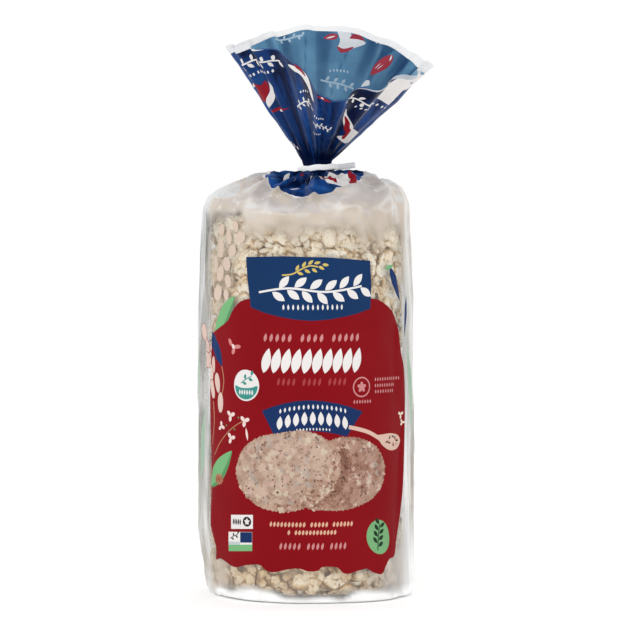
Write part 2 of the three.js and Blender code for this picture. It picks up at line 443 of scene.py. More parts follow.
def film_pale(a, v):
    """How far the film is lifted towards white: the folded foot, partly the film's own whiteness and partly painted
    light against the shade at the floor; the loose right edge; painted highlights on the shoulder and along the left
    edge; and painted light over darker patches low down and at the left.
    """
    u = (a + PI / 2) * UNWRAP
    cell = u / (2 * PI * UNWRAP) * 77
    # the foot: partly the folded film's own whiteness, partly painted light that lifts the shade where the film meets
    # the floor
    foot = 1 - smooth(v, 4.0, 9)
    corner = (1 - smooth(v, 40, 110)) * smooth(u, 50, 64) * (1 - smooth(u, 84, 100))
    corner = np.maximum(corner, 0.75 * (1 - smooth(v, 18, 44)) * smooth(u, 40, 56) * (1 - smooth(u, 84, 100)))
    right = 0.72 * smooth(u, 60, 68) * (1 - smooth(u, 76, 92)) * smooth(v, 70, 110)
    right = right * (1 - 0.65 * smooth(v, 166, 194))
    # painted highlights: soft lights on the shoulder
    lights = smooth(noise(cell * 0.30, v / 15, 61, 23), 0.10, 0.75) * smooth(v, 172, 196)
    lights = 0.26 * lights * (1 - 0.5 * smooth(v, 224, 240))
    # painted highlight lines along the shoulder's creases
    crease = ridges(cell * 0.55 + 0.9 * np.sin(v / 13), v / 10, 64, 42)
    crease = smooth(crease, 0.66, 1.0) * smooth(v, 180, 194)
    lights = np.maximum(lights, 0.30 * crease)
    lean = 0.8 * np.sin(v / 47 + 1.3)
    # painted highlight streaks down the loose left edge, and painted light over its lower part
    bright = smooth(ridges(cell * 1.5 + lean + 0.4, v / 62, 66, 115), 0.45, 0.85)
    left = loose_share(a) * (np.cos(a) < 0) * (1 - smooth(v, 176, 196))
    left = left * (0.50 * bright + 0.34 * (1 - smooth(v, 30, 90)))
    # painted light over darker patches: low at the left, beside the right foot, and at the left side
    low_left = 0.36 * smooth(-u, 34, 50) * (1 - smooth(-u, 66, 80)) * (1 - smooth(v, 14, 32))
    beside = 0.58 * smooth(u, 30, 44) * (1 - smooth(u, 62, 72)) * (1 - smooth(v, 18, 36))
    glow = 0.12 * smooth(-u, 34, 46) * (1 - smooth(-u, 56, 64)) * smooth(v, 96, 120) * (1 - smooth(v, 178, 192))
    low_left = np.maximum.reduce([low_left, beside, glow])
    return np.clip(np.maximum.reduce([foot, 0.8 * corner, right, lights, left, low_left]), 0, 1)


# ------------------------------------------------------------------ shapes of the print
def loop(points, steps=4):
    """A closed smooth outline through the points."""
    p = np.array(points, float)
    out = []
    for i in range(len(p)):
        a, b, c, d = p[i - 1], p[i], p[(i + 1) % len(p)], p[(i + 2) % len(p)]
        for t in np.arange(steps) / steps:
            out.append(
                0.5
                * (
                    2 * b
                    + (c - a) * t
                    + (2 * a - 5 * b + 4 * c - d) * t * t
                    + (3 * b - a - 3 * c + d) * t**3
                )
            )
    return np.array(out)


def sharp(points, step=3.0):
    """A closed outline with straight sides, divided so that it can follow the film."""
    p = np.array(points, float)
    out = []
    for a, b in zip(p, np.roll(p, -1, 0)):
        n = max(1, int(np.linalg.norm(b - a) / step))
        out += [mix(a, b, t) for t in np.arange(n) / n]
    return np.array(out)


def ellipse(x, y, rx, ry, turn=0.0, steps=None, bumps=0, depth=0.0):
    steps = steps or max(8, int(2 * PI * max(rx, ry) / 0.9))
    t = np.arange(steps) / steps * 2 * PI
    k = 1 + depth * (np.abs(np.sin(t * bumps / 2)) - 0.6) if bumps else 1
    px, py = rx * k * np.cos(t), ry * k * np.sin(t)
    c, s = math.cos(math.radians(turn)), math.sin(math.radians(turn))
    return np.stack([x + px * c - py * s, y + px * s + py * c], -1)


def leaf(a, b, width, belly=0.5, bend=0.0):
    """A pointed leaf or grain from a to b."""
    a, b = np.array(a, float), np.array(b, float)
    along = b - a
    across = np.array([-along[1], along[0]]) / np.linalg.norm(along)
    n = max(5, int(np.linalg.norm(along) / 1.2))
    t = np.linspace(0, 1, n + 1)
    half = width / 2 * np.sin(PI * t ** (math.log(0.5) / math.log(belly))) ** 0.85
    mid = a + along * t[:, None] + across * (bend * np.sin(PI * t))[:, None]
    one, two = mid + across * half[:, None], mid - across * half[:, None]
    return np.concatenate([one, two[-2:0:-1]])


def stem(points, width):
    p = np.array(points, float)
    fine = []
    for i in range(len(p) - 1):
        a, b, c, d = p[max(i - 1, 0)], p[i], p[i + 1], p[min(i + 2, len(p) - 1)]
        for t in np.arange(5) / 5:
            fine.append(
                0.5
                * (
                    2 * b
                    + (c - a) * t
                    + (2 * a - 5 * b + 4 * c - d) * t * t
                    + (3 * b - a - 3 * c + d) * t**3
                )
            )
    fine.append(p[-1])
    f = np.array(fine)
    g = np.gradient(f, axis=0)
    g /= np.linalg.norm(g, axis=1, keepdims=True)
    side = np.stack([-g[:, 1], g[:, 0]], -1) * width / 2
    return np.concatenate([f + side, (f - side)[::-1]])


def grain_row(ink_name, x0, x1, y, height, width, count, tilt=0.0, arc=0.0, gaps=()):
    """A row of upright grains, the plain motif used all over this print."""
    out = []
    for i in range(count):
        if i in gaps:
            continue
        t = (i + 0.5) / count
        x = mix(x0, x1, t)
        yy = y + arc * (1 - (2 * t - 1) ** 2)
        lean = math.radians(tilt) + arc * -0.05 * (2 * t - 1)
        dx, dy = height / 2 * math.sin(lean), height / 2 * math.cos(lean)
        out.append((ink_name, leaf((x - dx, yy - dy), (x + dx, yy + dy), width, 0.46)))
    return out


def flower(ink_name, x, y, size, petals=3, turn=90):
    out = []
    for i in range(petals):
        q = math.radians(turn + 360 / petals * i)
        out.append(
            (
                ink_name,
                ellipse(
                    x + size * 0.62 * math.cos(q),
                    y + size * 0.62 * math.sin(q),
                    size * 0.60,
                    size * 0.40,
                    math.degrees(q),
                    10,
                ),
            )
        )
    return out


def sprig(ink_name, points, leaves, length, width, stem_width=0.7, spread=48):
    """A stem with leaves on both sides."""
    p = np.array(points, float)
    out = [(ink_name, stem(points, stem_width))]
    along = np.linspace(0.12, 0.97, leaves)
    dist = np.concatenate([[0], np.cumsum(np.linalg.norm(np.diff(p, axis=0), axis=1))])
    for i, t in enumerate(along):
        at = np.array([np.interp(t * dist[-1], dist, p[:, k]) for k in (0, 1)])
        ahead = np.array([np.interp(min(1, t + 0.05) * dist[-1], dist, p[:, k]) for k in (0, 1)])
        behind = np.array([np.interp(max(0, t - 0.05) * dist[-1], dist, p[:, k]) for k in (0, 1)])
        way = math.atan2(*(ahead - behind)[::-1]) + math.radians(spread if i % 2 else -spread)
        tip = at + length * np.array([math.cos(way), math.sin(way)])
        out.append((ink_name, leaf(at + 0.12 * (tip - at), tip, width, 0.5)))
    return out


def front_print():
    """The printed front, laid out on the unwrapped film: u to the right, v up, in mm."""
    s = []
    rng = np.random.default_rng(5)

    # on the clear film round the field of red
    s.append(("paleleaf", leaf((-62, 97), (-70, 55), 4.0)))
    s.append(("paleleaf", leaf((-74, 120), (-71, 92), 3.0)))
    s.append(("paleleaf", leaf((66, 128), (70, 60), 3.4)))
    for x, y, w, h, turn in [
        (-48.4, 168.6, 4.4, 8.8, -8), (-34.0, 174.6, 6.4, 5.2, 30), (-39.8, 168.0, 5.0, 6.2, -25),
        (-42.2, 174.6, 4.0, 7.4, 12), (-53.0, 161.4, 4.2, 8.6, 4), (-43.8, 161.6, 5.6, 6.8, 14),
        (-48.8, 156.8, 5.2, 7.8, -18), (-50.5, 147.4, 5.6, 7.8, -14), (-55.2, 151.6, 3.6, 7.4, 6),
        (-37.4, 180.0, 4.0, 5.2, 40), (-55.2, 142.4, 3.8, 7.2, 10), (-42.8, 153.4, 4.4, 6.4, 20),
        (-47.8, 178.0, 3.8, 5.6, -14), (-44.2, 146.8, 3.8, 5.6, 8),
    ]:
        s.append(("grainpink", ellipse(x, y, w / 2, h / 2, turn + rng.uniform(-4, 4), 18)))
    s.append(("leafdark", loop([(-53.6, 125.4), (-49.6, 133.2), (-44.2, 141.6), (-38.0, 146.4), (-39.6, 140), (-43, 134), (-48.2, 128.6)], 3)))
    s.append(("leaf", loop([(-53.6, 125.6), (-51.4, 133.4), (-46.4, 141.8), (-38.2, 146.2), (-41.4, 139.4), (-45.4, 133.2), (-49.6, 128.6)], 3)))

    # the field of red, its wavy foot, and the plate
    foot = [
        (-54.6, 18.2), (-50.0, 19.2), (-45.5, 17.8), (-40.5, 16.0), (-36.2, 16.2), (-30.2, 17.6),
        (-23.5, 18.0), (-20.2, 15.8), (-17.2, 14.8), (-13.0, 15.3), (-7.5, 16.6), (-2.8, 16.8),
        (1.0, 15.6), (6.0, 15.8), (8.2, 17.6), (15.2, 17.2), (18.0, 14.6), (21.0, 14.0),
        (25.5, 15.2), (30.2, 16.0), (33.2, 14.2), (38.0, 12.9), (40.5, 15.6), (44.5, 19.6),
        (49.2, 21.4),
    ]
    s.append(
        (
            "red",
            loop(
                foot
                + [
                    (54.3, 34), (56.4, 47), (58.2, 61), (58.8, 85), (58.4, 107), (56.0, 118),
                    (53.6, 130), (50.4, 137), (43.8, 142.2), (33.8, 145.4), (0, 147), (-29.8, 145.2),
                    (-38.0, 140.6), (-42.6, 134.4), (-50.8, 129.8), (-55.4, 126), (-56.4, 110),
                    (-57.2, 71), (-56.2, 40), (-54.4, 30), (-52.4, 24),
                ],
                3,
            ),
        )
    )
    s.append(
        (
            "blue",
            sharp(
                [
                    (-28.2, 141.2), (-29.8, 153.2), (-30.8, 165.3), (-10.5, 166.1), (9.8, 165.6),
                    (33.8, 163.4), (34.4, 151.8), (33.8, 140.4), (26.5, 138.4), (19.5, 137.0),
                    (11.5, 135.8), (3.0, 135.2), (-5.0, 135.8), (-12.5, 137.0), (-20.5, 138.8),
                ],
                2.5,
            ),
        )
    )
    # a plain sprig across the plate, an ear of grain above it and a row of dots below
    s += sprig("white", [(-23.5, 148.6), (-8, 150.8), (10, 149.0), (28.6, 151.4)], 13, 8.6, 3.6, 1.0, 42)
    s.append(("yellow", stem([(-11.5, 157.0), (-6.5, 157.6), (-2.4, 159.8), (2.0, 161.6), (6.0, 161.0)], 0.7)))
    for x, y, way in [
        (-4.0, 160.6, 62), (-0.8, 162.2, 58), (2.4, 163.2, 40), (5.6, 163.0, 10), (-2.6, 157.9, -20),
        (0.8, 159.0, -28), (4.2, 159.4, -34), (7.6, 160.6, -30), (9.6, 162.0, -8),
    ]:
        q = math.radians(way)
        s.append(("yellow", leaf((x - 1.6 * math.cos(q), y - 1.6 * math.sin(q)), (x + 1.7 * math.cos(q), y + 1.7 * math.sin(q)), 1.5, 0.45)))
    s += grain_row("white", -12, 19, 141.7, 2.8, 1.0, 13)

    # rows of grains where the field had words
    s += grain_row("rose", -21.5, 27.6, 127.0, 4.2, 1.7, 16, 12, gaps=(5, 10))
    s += grain_row("white", -22.0, 28.4, 116.0, 12.4, 4.7, 10, 14)
    s += grain_row("redlight", -14.5, 20.5, 106.0, 4.0, 1.4, 14, 12, gaps=(4, 9))

    # a plain round seal at the left and an outlined one at the right
    s.append(("white", ellipse(-30.9, 103.7, 7.6, 7.5)))
    s.append(("teal", loop([(-37.6, 103.4), (-34.5, 102.6), (-30.9, 102.4), (-27.2, 102.8), (-24.2, 103.6), (-25.0, 100.2), (-27.8, 97.7), (-30.9, 96.9), (-34.4, 97.8), (-36.9, 100.3)], 3)))
    s += sprig("teal", [(-33.9, 104.6), (-30.9, 106.6), (-27.6, 108.2)], 4, 3.0, 1.5, 0.5)
    s += grain_row("white", -35.3, -26.4, 100.4, 2.6, 1.0, 6)
    s.append(("rose", ellipse(28.6, 103.0, 5.1, 4.9)))
    s.append(("red", ellipse(28.6, 103.0, 4.4, 4.2)))
    s += flower("rose", 28.6, 103.0, 2.2, 5)
    for row, (x0, x1) in zip((106.3, 103.3, 100.4), ((36.4, 54.5), (36.4, 50.6), (36.4, 50.0))):
        s += grain_row("rose", x0, x1, row, 1.9, 0.9, int((x1 - x0) / 1.55))
    s += grain_row("rose", 23.6, 34.4, 96.0, 1.9, 0.9, 7)

    # the banner
    s.append(
        (
            "banner",
            sharp(
                [
                    (-21.8, 91.9), (-16, 94.1), (-10.0, 95.8), (-4, 96.9), (1.8, 97.3), (8.4, 96.8),
                    (15.8, 95.5), (22.4, 93.6), (29.0, 91.2), (24.6, 85.6), (20.5, 79.6),
                    (14, 81.2), (8, 82.2), (2.0, 82.7), (-4, 82.5), (-10, 81.8), (-15.6, 80.6),
                    (-18.7, 86.4),
                ],
                2.5,
            ),
        )
    )
    s += grain_row("white", -14.6, 21.4, 85.6, 6.6, 2.9, 9, 0, 3.0)
    s += grain_row("white", -13.4, 20.6, 91.6, 2.4, 1.0, 15, 0, 2.6)
    s += grain_row("white", -5.0, 12.4, 83.0, 1.4, 0.7, 11, 0, 0.5)

    # an ear of grain down the left edge, a spindle-shaped bud, and flowers
    s.append(("straw", stem([(-53.8, 95.0), (-53.4, 84.0), (-55.6, 74.0)], 0.6)))
    for x, y, w, h, turn in [
        (-64.5, 128.0, 3.0, 8.4, 10), (-62.0, 121.8, 3.0, 8.4, 8), (-61.4, 114.8, 3.2, 8.0, 10),
        (-58.6, 118.8, 2.8, 7.6, 16), (-57.4, 109.2, 2.8, 8.6, 8), (-55.3, 112.6, 2.5, 8.0, 6),
        (-52.0, 104.0, 3.5, 9.6, 8), (-55.8, 100.8, 2.9, 9.2, 12), (-49.8, 94.6, 4.0, 9.8, 0),
    ]:
        s.append(("grainedge", ellipse(x + 1.4, y, w / 2 + 0.25, h / 2 + 0.3, turn, 20)))
        s.append(("grainprint", ellipse(x + 1.4, y, w / 2, h / 2, turn, 20)))
    s.append(("straw", stem([(-47.6, 113.4), (-45.8, 105.2), (-47.2, 98.6)], 0.6)))
    s.append(("navy", leaf((-57.6, 131.2), (-47.0, 112.0), 5.6, 0.56)))
    s.append(("navy", leaf((47.6, 160.2), (55.6, 143.4), 4.4, 0.42)))
    s.append(("leaf", leaf((43.4, 159.2), (50.4, 160.6), 2.2)))
    s.append(("navy", leaf((62.0, 146), (58.4, 126), 2.4)))
    s += flower("cream", 55.8, 88.4, 1.8, 3, 30)
    s += flower("cream", 57.0, 84.6, 1.4, 3, 0)
    for x, y, w, h, turn in [(-40.8, 124.0, 2.0, 4.0, 30), (-36.2, 122.0, 4.2, 2.0, 4), (-38.8, 119.8, 2.1, 3.4, -24)]:
        s.append(("pinkbloom", ellipse(x, y, w / 2, h / 2, turn, 16)))
    s.append(("pinkwhite", ellipse(-38.8, 122.0, 0.9, 1.3, 30, 12)))
    s.append(("straw", stem([(-53.0, 69.0), (-48.2, 75.4), (-42.6, 80.6), (-36.4, 84.6), (-31.4, 86.8)], 0.5)))
    s += flower("pinkwhite", -40.6, 88.8, 2.5, 3, 20)
    s += flower("pinkwhite", -31.6, 86.6, 2.5, 3, 140)
    s += flower("pinkwhite", -47.4, 83.2, 2.1, 3, 100)
    s += flower("pinkwhite", -40.4, 78.0, 2.4, 3, 250)
    s.append(("pinkwhite", leaf((-30.8, 83.4), (-29.8, 77.2), 1.3)))
    for x, y in [(-43.6, 83.8), (-38.0, 82.2), (-35.4, 88.0)]:
        s.append(("leafdark", ellipse(x, y, 0.5, 0.5, 0, 8)))
    s.append(("leafdark", leaf((-56.4, 53.4), (-39.6, 71.8), 8.8, 0.42)))
    s.append(("leaf", leaf((-56.8, 54.2), (-40.0, 71.8), 7.0, 0.42, 0.9)))
    s.append(("straw", ellipse(-49.4, 57.6, 3.0, 2.7, 0, 22, 11, 0.25)))
    s += grain_row("red", -51.6, -47.2, 57.6, 3.6, 0.5, 4, 10)

    # the spoon, its bowl full of dark grains
    s.append(("pinkcream", stem([(21.4, 84.1), (27.5, 82.7), (33.5, 80.8), (40.2, 77.4)], 1.9)))
    s.append(("pinkcream", loop([(37.6, 79.2), (42.0, 79.6), (48.0, 79.8), (54.0, 78.4), (55.8, 75.4), (53.0, 72.2), (47.4, 71.6), (42.4, 73.8), (39.4, 76.6)], 3)))
    for i in range(11):
        q = rng.uniform(0, 2 * PI)
        k = rng.uniform(0, 1) ** 0.5
        x, y = 48.8 + 4.8 * k * math.cos(q), 75.8 + 2.5 * k * math.sin(q)
        w = rng.uniform(0, PI)
        s.append(
            (
                "dark" if i % 3 else "straw",
                leaf((x - 1.3 * math.cos(w), y - 1.1 * math.sin(w)), (x + 1.3 * math.cos(w), y + 1.1 * math.sin(w)), 0.9),
            )
        )

    # the two printed cakes, one behind the other, with the side of the nearer one in shade
    def lumpy(points, size):
        """An outline through the points with small uneven grains standing out along it."""
        p = loop(points, 8)
        step = np.linalg.norm(np.roll(p, -1, 0) - p, axis=1)
        along = np.concatenate([[0], np.cumsum(step)])
        total = along[-1]
        n = int(total / 0.75)
        at = np.arange(n) / n * total
        x = np.interp(at, along, np.append(p[:, 0], p[0, 0]))
        y = np.interp(at, along, np.append(p[:, 1], p[0, 1]))
        d = np.stack([np.roll(x, -1) - np.roll(x, 1), np.roll(y, -1) - np.roll(y, 1)], -1)
        d /= np.linalg.norm(d, axis=1, keepdims=True)
        phase = np.cumsum(rng.uniform(0.6, 1.5, n)) * 1.25
        k = size * (np.abs(np.sin(phase)) - 0.5) * rng.uniform(0.5, 1.3, n)
        area = (x * np.roll(y, -1) - np.roll(x, -1) * y).sum()
        turn = 1 if area > 0 else -1
        return np.stack([x + turn * d[:, 1] * k, y - turn * d[:, 0] * k], -1)

    left = lumpy(
        [
            (-36.8, 63.4), (-32.6, 72.8), (-23.6, 78.9), (-12.4, 81.4), (-1.6, 82.9), (6.6, 80.4),
            (12.6, 76.4), (16.4, 70.4), (17.2, 63.6), (13.2, 55.6), (6.6, 49.2), (-1.6, 45.4),
            (-11.6, 44.0), (-22.4, 45.6), (-31.0, 51.0), (-35.6, 56.8),
        ],
        1.0,
    )
    face = lumpy(
        [
            (-36.6, 63.8), (-32.2, 72.8), (-23.4, 78.8), (-12.4, 81.2), (-2.0, 82.6), (5.4, 80.6),
            (10.0, 77.0), (11.8, 71.8), (11.0, 66.0), (6.8, 59.6), (0.4, 53.0), (-7.0, 48.6),
            (-16.0, 47.4), (-25.0, 49.2), (-32.0, 53.8), (-35.8, 58.6),
        ],
        1.2,
    )
    right = lumpy(
        [
            (10.0, 76.6), (17.8, 79.2), (27.4, 78.4), (36.4, 74.6), (41.8, 68.4), (43.2, 61.8),
            (41.6, 55.2), (36.2, 50.0), (28.4, 46.6), (18.8, 44.6), (9.0, 44.6), (0.0, 46.4),
            (-2.0, 56.0), (4.0, 68.0),
        ],
        1.0,
    )
    shade = lumpy(
        [
            (14.2, 77.6), (21.4, 76.4), (26.8, 72.0), (27.2, 65.0), (25.4, 57.4), (27.6, 50.6),
            (21.0, 46.2), (10.6, 45.6), (1.0, 46.8), (0.0, 58.0), (6.0, 70.0),
        ],
        1.6,
    )
    dark = lumpy(
        [
            (17.6, 73.6), (21.6, 71.8), (22.8, 66.6), (20.6, 60.0), (17.4, 53.8), (10.4, 48.0),
            (2.0, 47.0), (2.0, 56.0), (8.0, 66.0),
        ],
        1.4,
    )

    def scatter(region, names, count, small, large, thin=0.6, avoid=None):
        lo, hi = region.min(0), region.max(0)
        made, tries = 0, 0
        while made < count and tries < 6000:
            tries += 1
            c = rng.uniform(lo, hi)
            away = rng.uniform(0, 2 * PI)
            probe = np.array([c, c + 1.3 * np.array([math.cos(away), math.sin(away)])])
            if not inside_loop(probe, region).all():
                continue
            if avoid is not None and inside_loop(probe, avoid).any():
                continue
            r = rng.uniform(small, large)
            s.append(
                (
                    names[rng.integers(len(names))],
                    ellipse(c[0], c[1], r, r * rng.uniform(thin, 1) * 0.9, rng.uniform(0, 180), 9, 3, 0.35),
                )
            )
            made += 1

    s.append(("cakeback", right))
    scatter(right, ["cakepale", "cakepink", "cakeback", "cakegrey"], 90, 0.7, 1.9, 0.6, left)
    s.append(("cakeshade", shade))
    scatter(shade, ["cakeback", "cakeshade", "cakepink", "cakebrown"], 90, 0.6, 1.5, 0.5, left)
    s.append(("cakebrown", dark))
    scatter(dark, ["cakeshade", "cakebrown", "speckdark"], 40, 0.5, 1.1, 0.4, left)
    s.append(("cakewall", left))
    scatter(left, ["cakeback", "cakewall", "cakepale", "cakebrown", "cakepink"], 130, 0.6, 1.6, 0.6, face)
    s.append(("cakeface", face))
    scatter(face, ["cakepale", "cakepink", "cakeface", "cakegrey"], 150, 0.8, 2.4, 0.5)
    scatter(face, ["speckdark", "specktan", "specktan", "cakewall"], 130, 0.28, 0.72, 0.35)
    scatter(right, ["speckdark", "specktan", "cakebrown"], 60, 0.28, 0.7, 0.35, left)

    # rows of grains, two plain badges and an oval at the foot of the field
    s += grain_row("peach", -18.0, 23.8, 37.8, 2.7, 1.3, 23, 10, gaps=(10, 16))
    s += grain_row("peach", -9.0, 15.2, 34.0, 2.5, 1.3, 14, 10, gaps=(1,))
    s += grain_row("rose", -13.2, 20.4, 27.4, 3.6, 1.3, 15, 12, gaps=(5, 10))
    s.append(("white", sharp([(-40.6, 41.0), (-26.8, 41.8), (-26.8, 35.1), (-40.6, 34.2)])))
    s.append(("dark", ellipse(-30.4, 38.3, 2.6, 2.4)))
    s += flower("white", -30.4, 38.3, 1.3, 5)
    s += grain_row("dark", -39.6, -34.0, 37.9, 3.2, 0.9, 5)
    s.append(("white", sharp([(-42.4, 32.7), (-27.2, 33.5), (-27.4, 24.4), (-42.8, 23.3)])))
    s.append(("greypale", sharp([(-42.6, 28.0), (-34.9, 28.4), (-35.0, 23.9), (-42.8, 23.3)])))
    s.append(("leaf", sharp([(-42.7, 26.4), (-27.3, 27.5), (-27.4, 24.4), (-42.8, 23.3)])))
    s.append(("banner", sharp([(-34.6, 33.0), (-27.3, 33.4), (-27.4, 28.4), (-34.7, 28.0)])))
    s += sprig("dark", [(-41.2, 29.6), (-38.6, 31.0), (-36.2, 31.8)], 4, 2.0, 1.0, 0.4)
    s.append(("sage", ellipse(38.9, 30.5, 7.4, 8.2, 8)))
    s += sprig("darkgreen", [(37.6, 24.2), (38.6, 30.0), (39.8, 36.6)], 8, 4.4, 1.9, 0.6)
    return s


# ------------------------------------------------------------------ cutting a sheet into its inks
def inside_loop(points, polygon):
    x, y = points[:, 0], points[:, 1]
    px, py = polygon[:, 0], polygon[:, 1]
    qx, qy = np.roll(px, -1), np.roll(py, -1)
    odd = np.zeros(len(points), bool)
    for ax, ay, bx, by in zip(px, py, qx, qy):
        if ay == by:
            continue
        hit = (ay > y) != (by > y)
        odd ^= hit & (x < (bx - ax) * (y - ay) / (by - ay) + ax)
    return odd


def dense(poly, step=1.6):
    """The same outline with no side longer than step, so it follows the sheet's folds."""
    out = []
    for a, b in zip(poly, np.roll(poly, -1, 0)):
        n = max(1, int(np.ceil(np.hypot(*(b - a)) / step)))
        out.append(a + (b - a) * (np.arange(n) / n)[:, None])
    return np.concatenate(out)


def cut_sheet(grid, shapes, clearance=0.35):
    """Triangles over the grid's points that follow every shape's outline, and the top shape on each."""
    shapes = [(name, dense(poly)) for name, poly in shapes]
    edges = []
    start = 0
    outlines = []
    for _, poly in shapes:
        n = len(poly)
        outlines.append(poly)
        edges += [(start + i, start + (i + 1) % n) for i in range(n)]
        start += n
    ring = np.concatenate(outlines) if outlines else np.zeros((0, 2))
    if len(ring):
        # grid points too near an outline would make slivers
        cell = {}
        for x, y in ring:
            cell.setdefault((int(x // 1), int(y // 1)), []).append((x, y))
        keep = []
        for x, y in grid:
            near = False
            cx, cy = int(x // 1), int(y // 1)
            for i in (-1, 0, 1):
                for j in (-1, 0, 1):
                    for ox, oy in cell.get((cx + i, cy + j), ()):
                        if (ox - x) ** 2 + (oy - y) ** 2 < clearance**2:
                            near = True
            keep.append(not near)
        grid = grid[np.array(keep)]
    every = np.concatenate([ring, grid])
    verts, _, faces, _, _, _ = delaunay_2d_cdt(
        [Vector((float(x), float(y))) for x, y in every], edges, [], 0, 1e-4, False
    )
    verts = np.array([(p[0], p[1]) for p in verts])
    faces = np.array(faces)
    mid = verts[faces].mean(1)
    top = np.full(len(faces), -1)
    for i, (_, poly) in enumerate(shapes):
        lo, hi = poly.min(0), poly.max(0)
        some = np.where((mid >= lo).all(1) & (mid <= hi).all(1))[0]
        if len(some):
            top[some[inside_loop(mid[some], poly)]] = i
    return verts, faces, top


def mottled(name, middle, dark, light):
    """An ink for the pictured cakes, uneven at the scale of a grain."""
    n = Nodes(name)
    coarse = n.noise(430, 5, 0.72)
    tint = n.ramp(n.noise(150, 3, 0.6), [(0.38, srgb(*middle)), (0.58, srgb(*light))])
    ratio = tuple(d / m for d, m in zip(srgb(*dark)[:3], srgb(*middle)[:3])) + (1,)
    crack = n.ramp(coarse, [(0.37, tuple(0.8 * c for c in ratio[:3]) + (1,)), (0.45, (1, 1, 1, 1))])
    tint = n.mix(1.0, tint, crack, "MULTIPLY")
    p = n.principled(
        Base_Color=tint,
        Roughness=0.45,
        Specular_IOR_Level=0.06,
        Normal=n.bump(coarse, 0.15, 0.0005),
    )
    return n.finish(p.outputs[0])


INKS = {
    "red": ink("ink_red", srgb(137, 7, 19), 0.06),
    "blue": ink("ink_blue", srgb(20, 54, 98), 0.08),
    "banner": ink("ink_banner", srgb(24, 50, 98), 0.08),
    "navy": ink("ink_navy", srgb(26, 54, 104), 0.08),
    "white": ink("ink_white", srgb(238, 234, 232), 0.03),
    "rose": ink("ink_rose", srgb(206, 138, 138), 0.06),
    "redlight": ink("ink_red_light", srgb(168, 66, 68), 0.06),
    "peach": ink("ink_peach", srgb(226, 176, 148), 0.06),
    "yellow": ink("ink_yellow", srgb(214, 190, 104), 0.06),
    "teal": ink("ink_teal", srgb(64, 148, 138), 0.06),
    "leaf": ink("ink_leaf", srgb(122, 184, 126), 0.08),
    "paleleaf": ink("ink_pale_leaf", srgb(168, 194, 172), 0.06),
    "sage": ink("ink_sage", srgb(124, 178, 124), 0.06),
    "darkgreen": ink("ink_dark_green", srgb(34, 58, 38), 0.08),
    "cream": ink("ink_cream", srgb(238, 218, 200), 0.05),
    "straw": ink("ink_straw", srgb(178, 128, 98), 0.08),
    "pinkbloom": ink("ink_bloom", srgb(214, 132, 132), 0.08),
    "pinkwhite": ink("ink_blossom", srgb(240, 218, 212), 0.04),
    "pinkcream": ink("ink_spoon", srgb(224, 190, 174), 0.06),
    "dark": ink("ink_dark", srgb(44, 40, 44), 0.10),
    "greypale": ink("ink_grey", srgb(196, 204, 206), 0.04),
    "cakeface": mottled("ink_cake_face", (177, 147, 128), (138, 105, 88), (202, 176, 157)),
    "cakeback": mottled("ink_cake_back", (153, 110, 94), (117, 79, 67), (185, 150, 133)),
    "cakeshade": mottled("ink_cake_shade", (156, 116, 100), (124, 86, 72), (180, 142, 124)),
    "cakewall": mottled("ink_cake_wall", (172, 138, 118), (134, 100, 82), (196, 166, 146)),
    "cakebrown": mottled("ink_cake_brown", (132, 94, 80), (106, 68, 58), (158, 118, 100)),
    "cakepale": mottled("ink_cake_pale", (202, 180, 158), (182, 156, 136), (214, 196, 176)),
    "cakepink": mottled("ink_cake_pink", (194, 160, 145), (170, 132, 117), (208, 180, 164)),
    "cakegrey": mottled("ink_cake_grey", (176, 156, 144), (156, 134, 122), (190, 172, 160)),
    "speckdark": ink("ink_speck_dark", srgb(104, 76, 66), 0.10),
    "specktan": ink("ink_speck_tan", srgb(148, 114, 98), 0.08),
    "grainpink": ink("ink_grain_pink", srgb(218, 197, 180), 0.05),
    "grainprint": ink("ink_grain_print", srgb(224, 196, 184), 0.05),
    "grainedge": ink("ink_grain_edge", srgb(150, 92, 84), 0.08),
    "leafdark": ink("ink_leaf_dark", srgb(92, 150, 98), 0.08),
    "tailred": ink("ink_tail_red", srgb(150, 26, 40), 0.08),
    "tailredin": ink("ink_tail_red_inside", srgb(164, 56, 72), 0.08),
    "tailwhitein": ink("ink_tail_white_inside", srgb(222, 226, 230), 0.04),
    "tailpalein": ink("ink_tail_pale_inside", srgb(176, 200, 216), 0.04),
}
CLEAR = film(
    "film_clear",
    [(0.61, 0.625, 0.63, 1), (0.575, 0.492, 0.405, 1), (0.505, 0.46, 0.435, 1)],
    streaks=0.66,
)
RIM = film("film_rim", [(0.69, 0.695, 0.71, 1)], gloss=0.1, rough=0.5, fixed=0.72, bump=0.0)


def printed(name, grid, shapes, base, place, drop=None):
    """A sheet of film: its own material where nothing is printed, and an ink on each shape."""
    verts, faces, top = cut_sheet(grid, shapes)
    if drop is not None:
        faces_keep = ~drop(verts[faces].mean(1))
        faces, top = faces[faces_keep], top[faces_keep]
    names = sorted({shapes[i][0] for i in set(top) if i >= 0})
    slots = {n: i + 1 for i, n in enumerate(names)}
    materials = [base] + [INKS[n] if n in INKS else n for n in names]
    index = np.array([slots[shapes[i][0]] if i >= 0 else 0 for i in top])
    a, p = place(verts)
    ob = new_mesh(name, p, faces, materials, index)
    return ob, verts


# ------------------------------------------------------------------ the film body
def columns():
    u, out = -154.0, []
    end = PI * UNWRAP
    while u < end - 0.6:
        out.append(u)
        a = u / UNWRAP - PI / 2
        side = float(side_share(np.array([a]))[0])
        u += mix(2.3, 1.0, min(1, side * 1.6))
    return np.array([-end + 0.0] + [x for x in out if x > -end + 0.8])


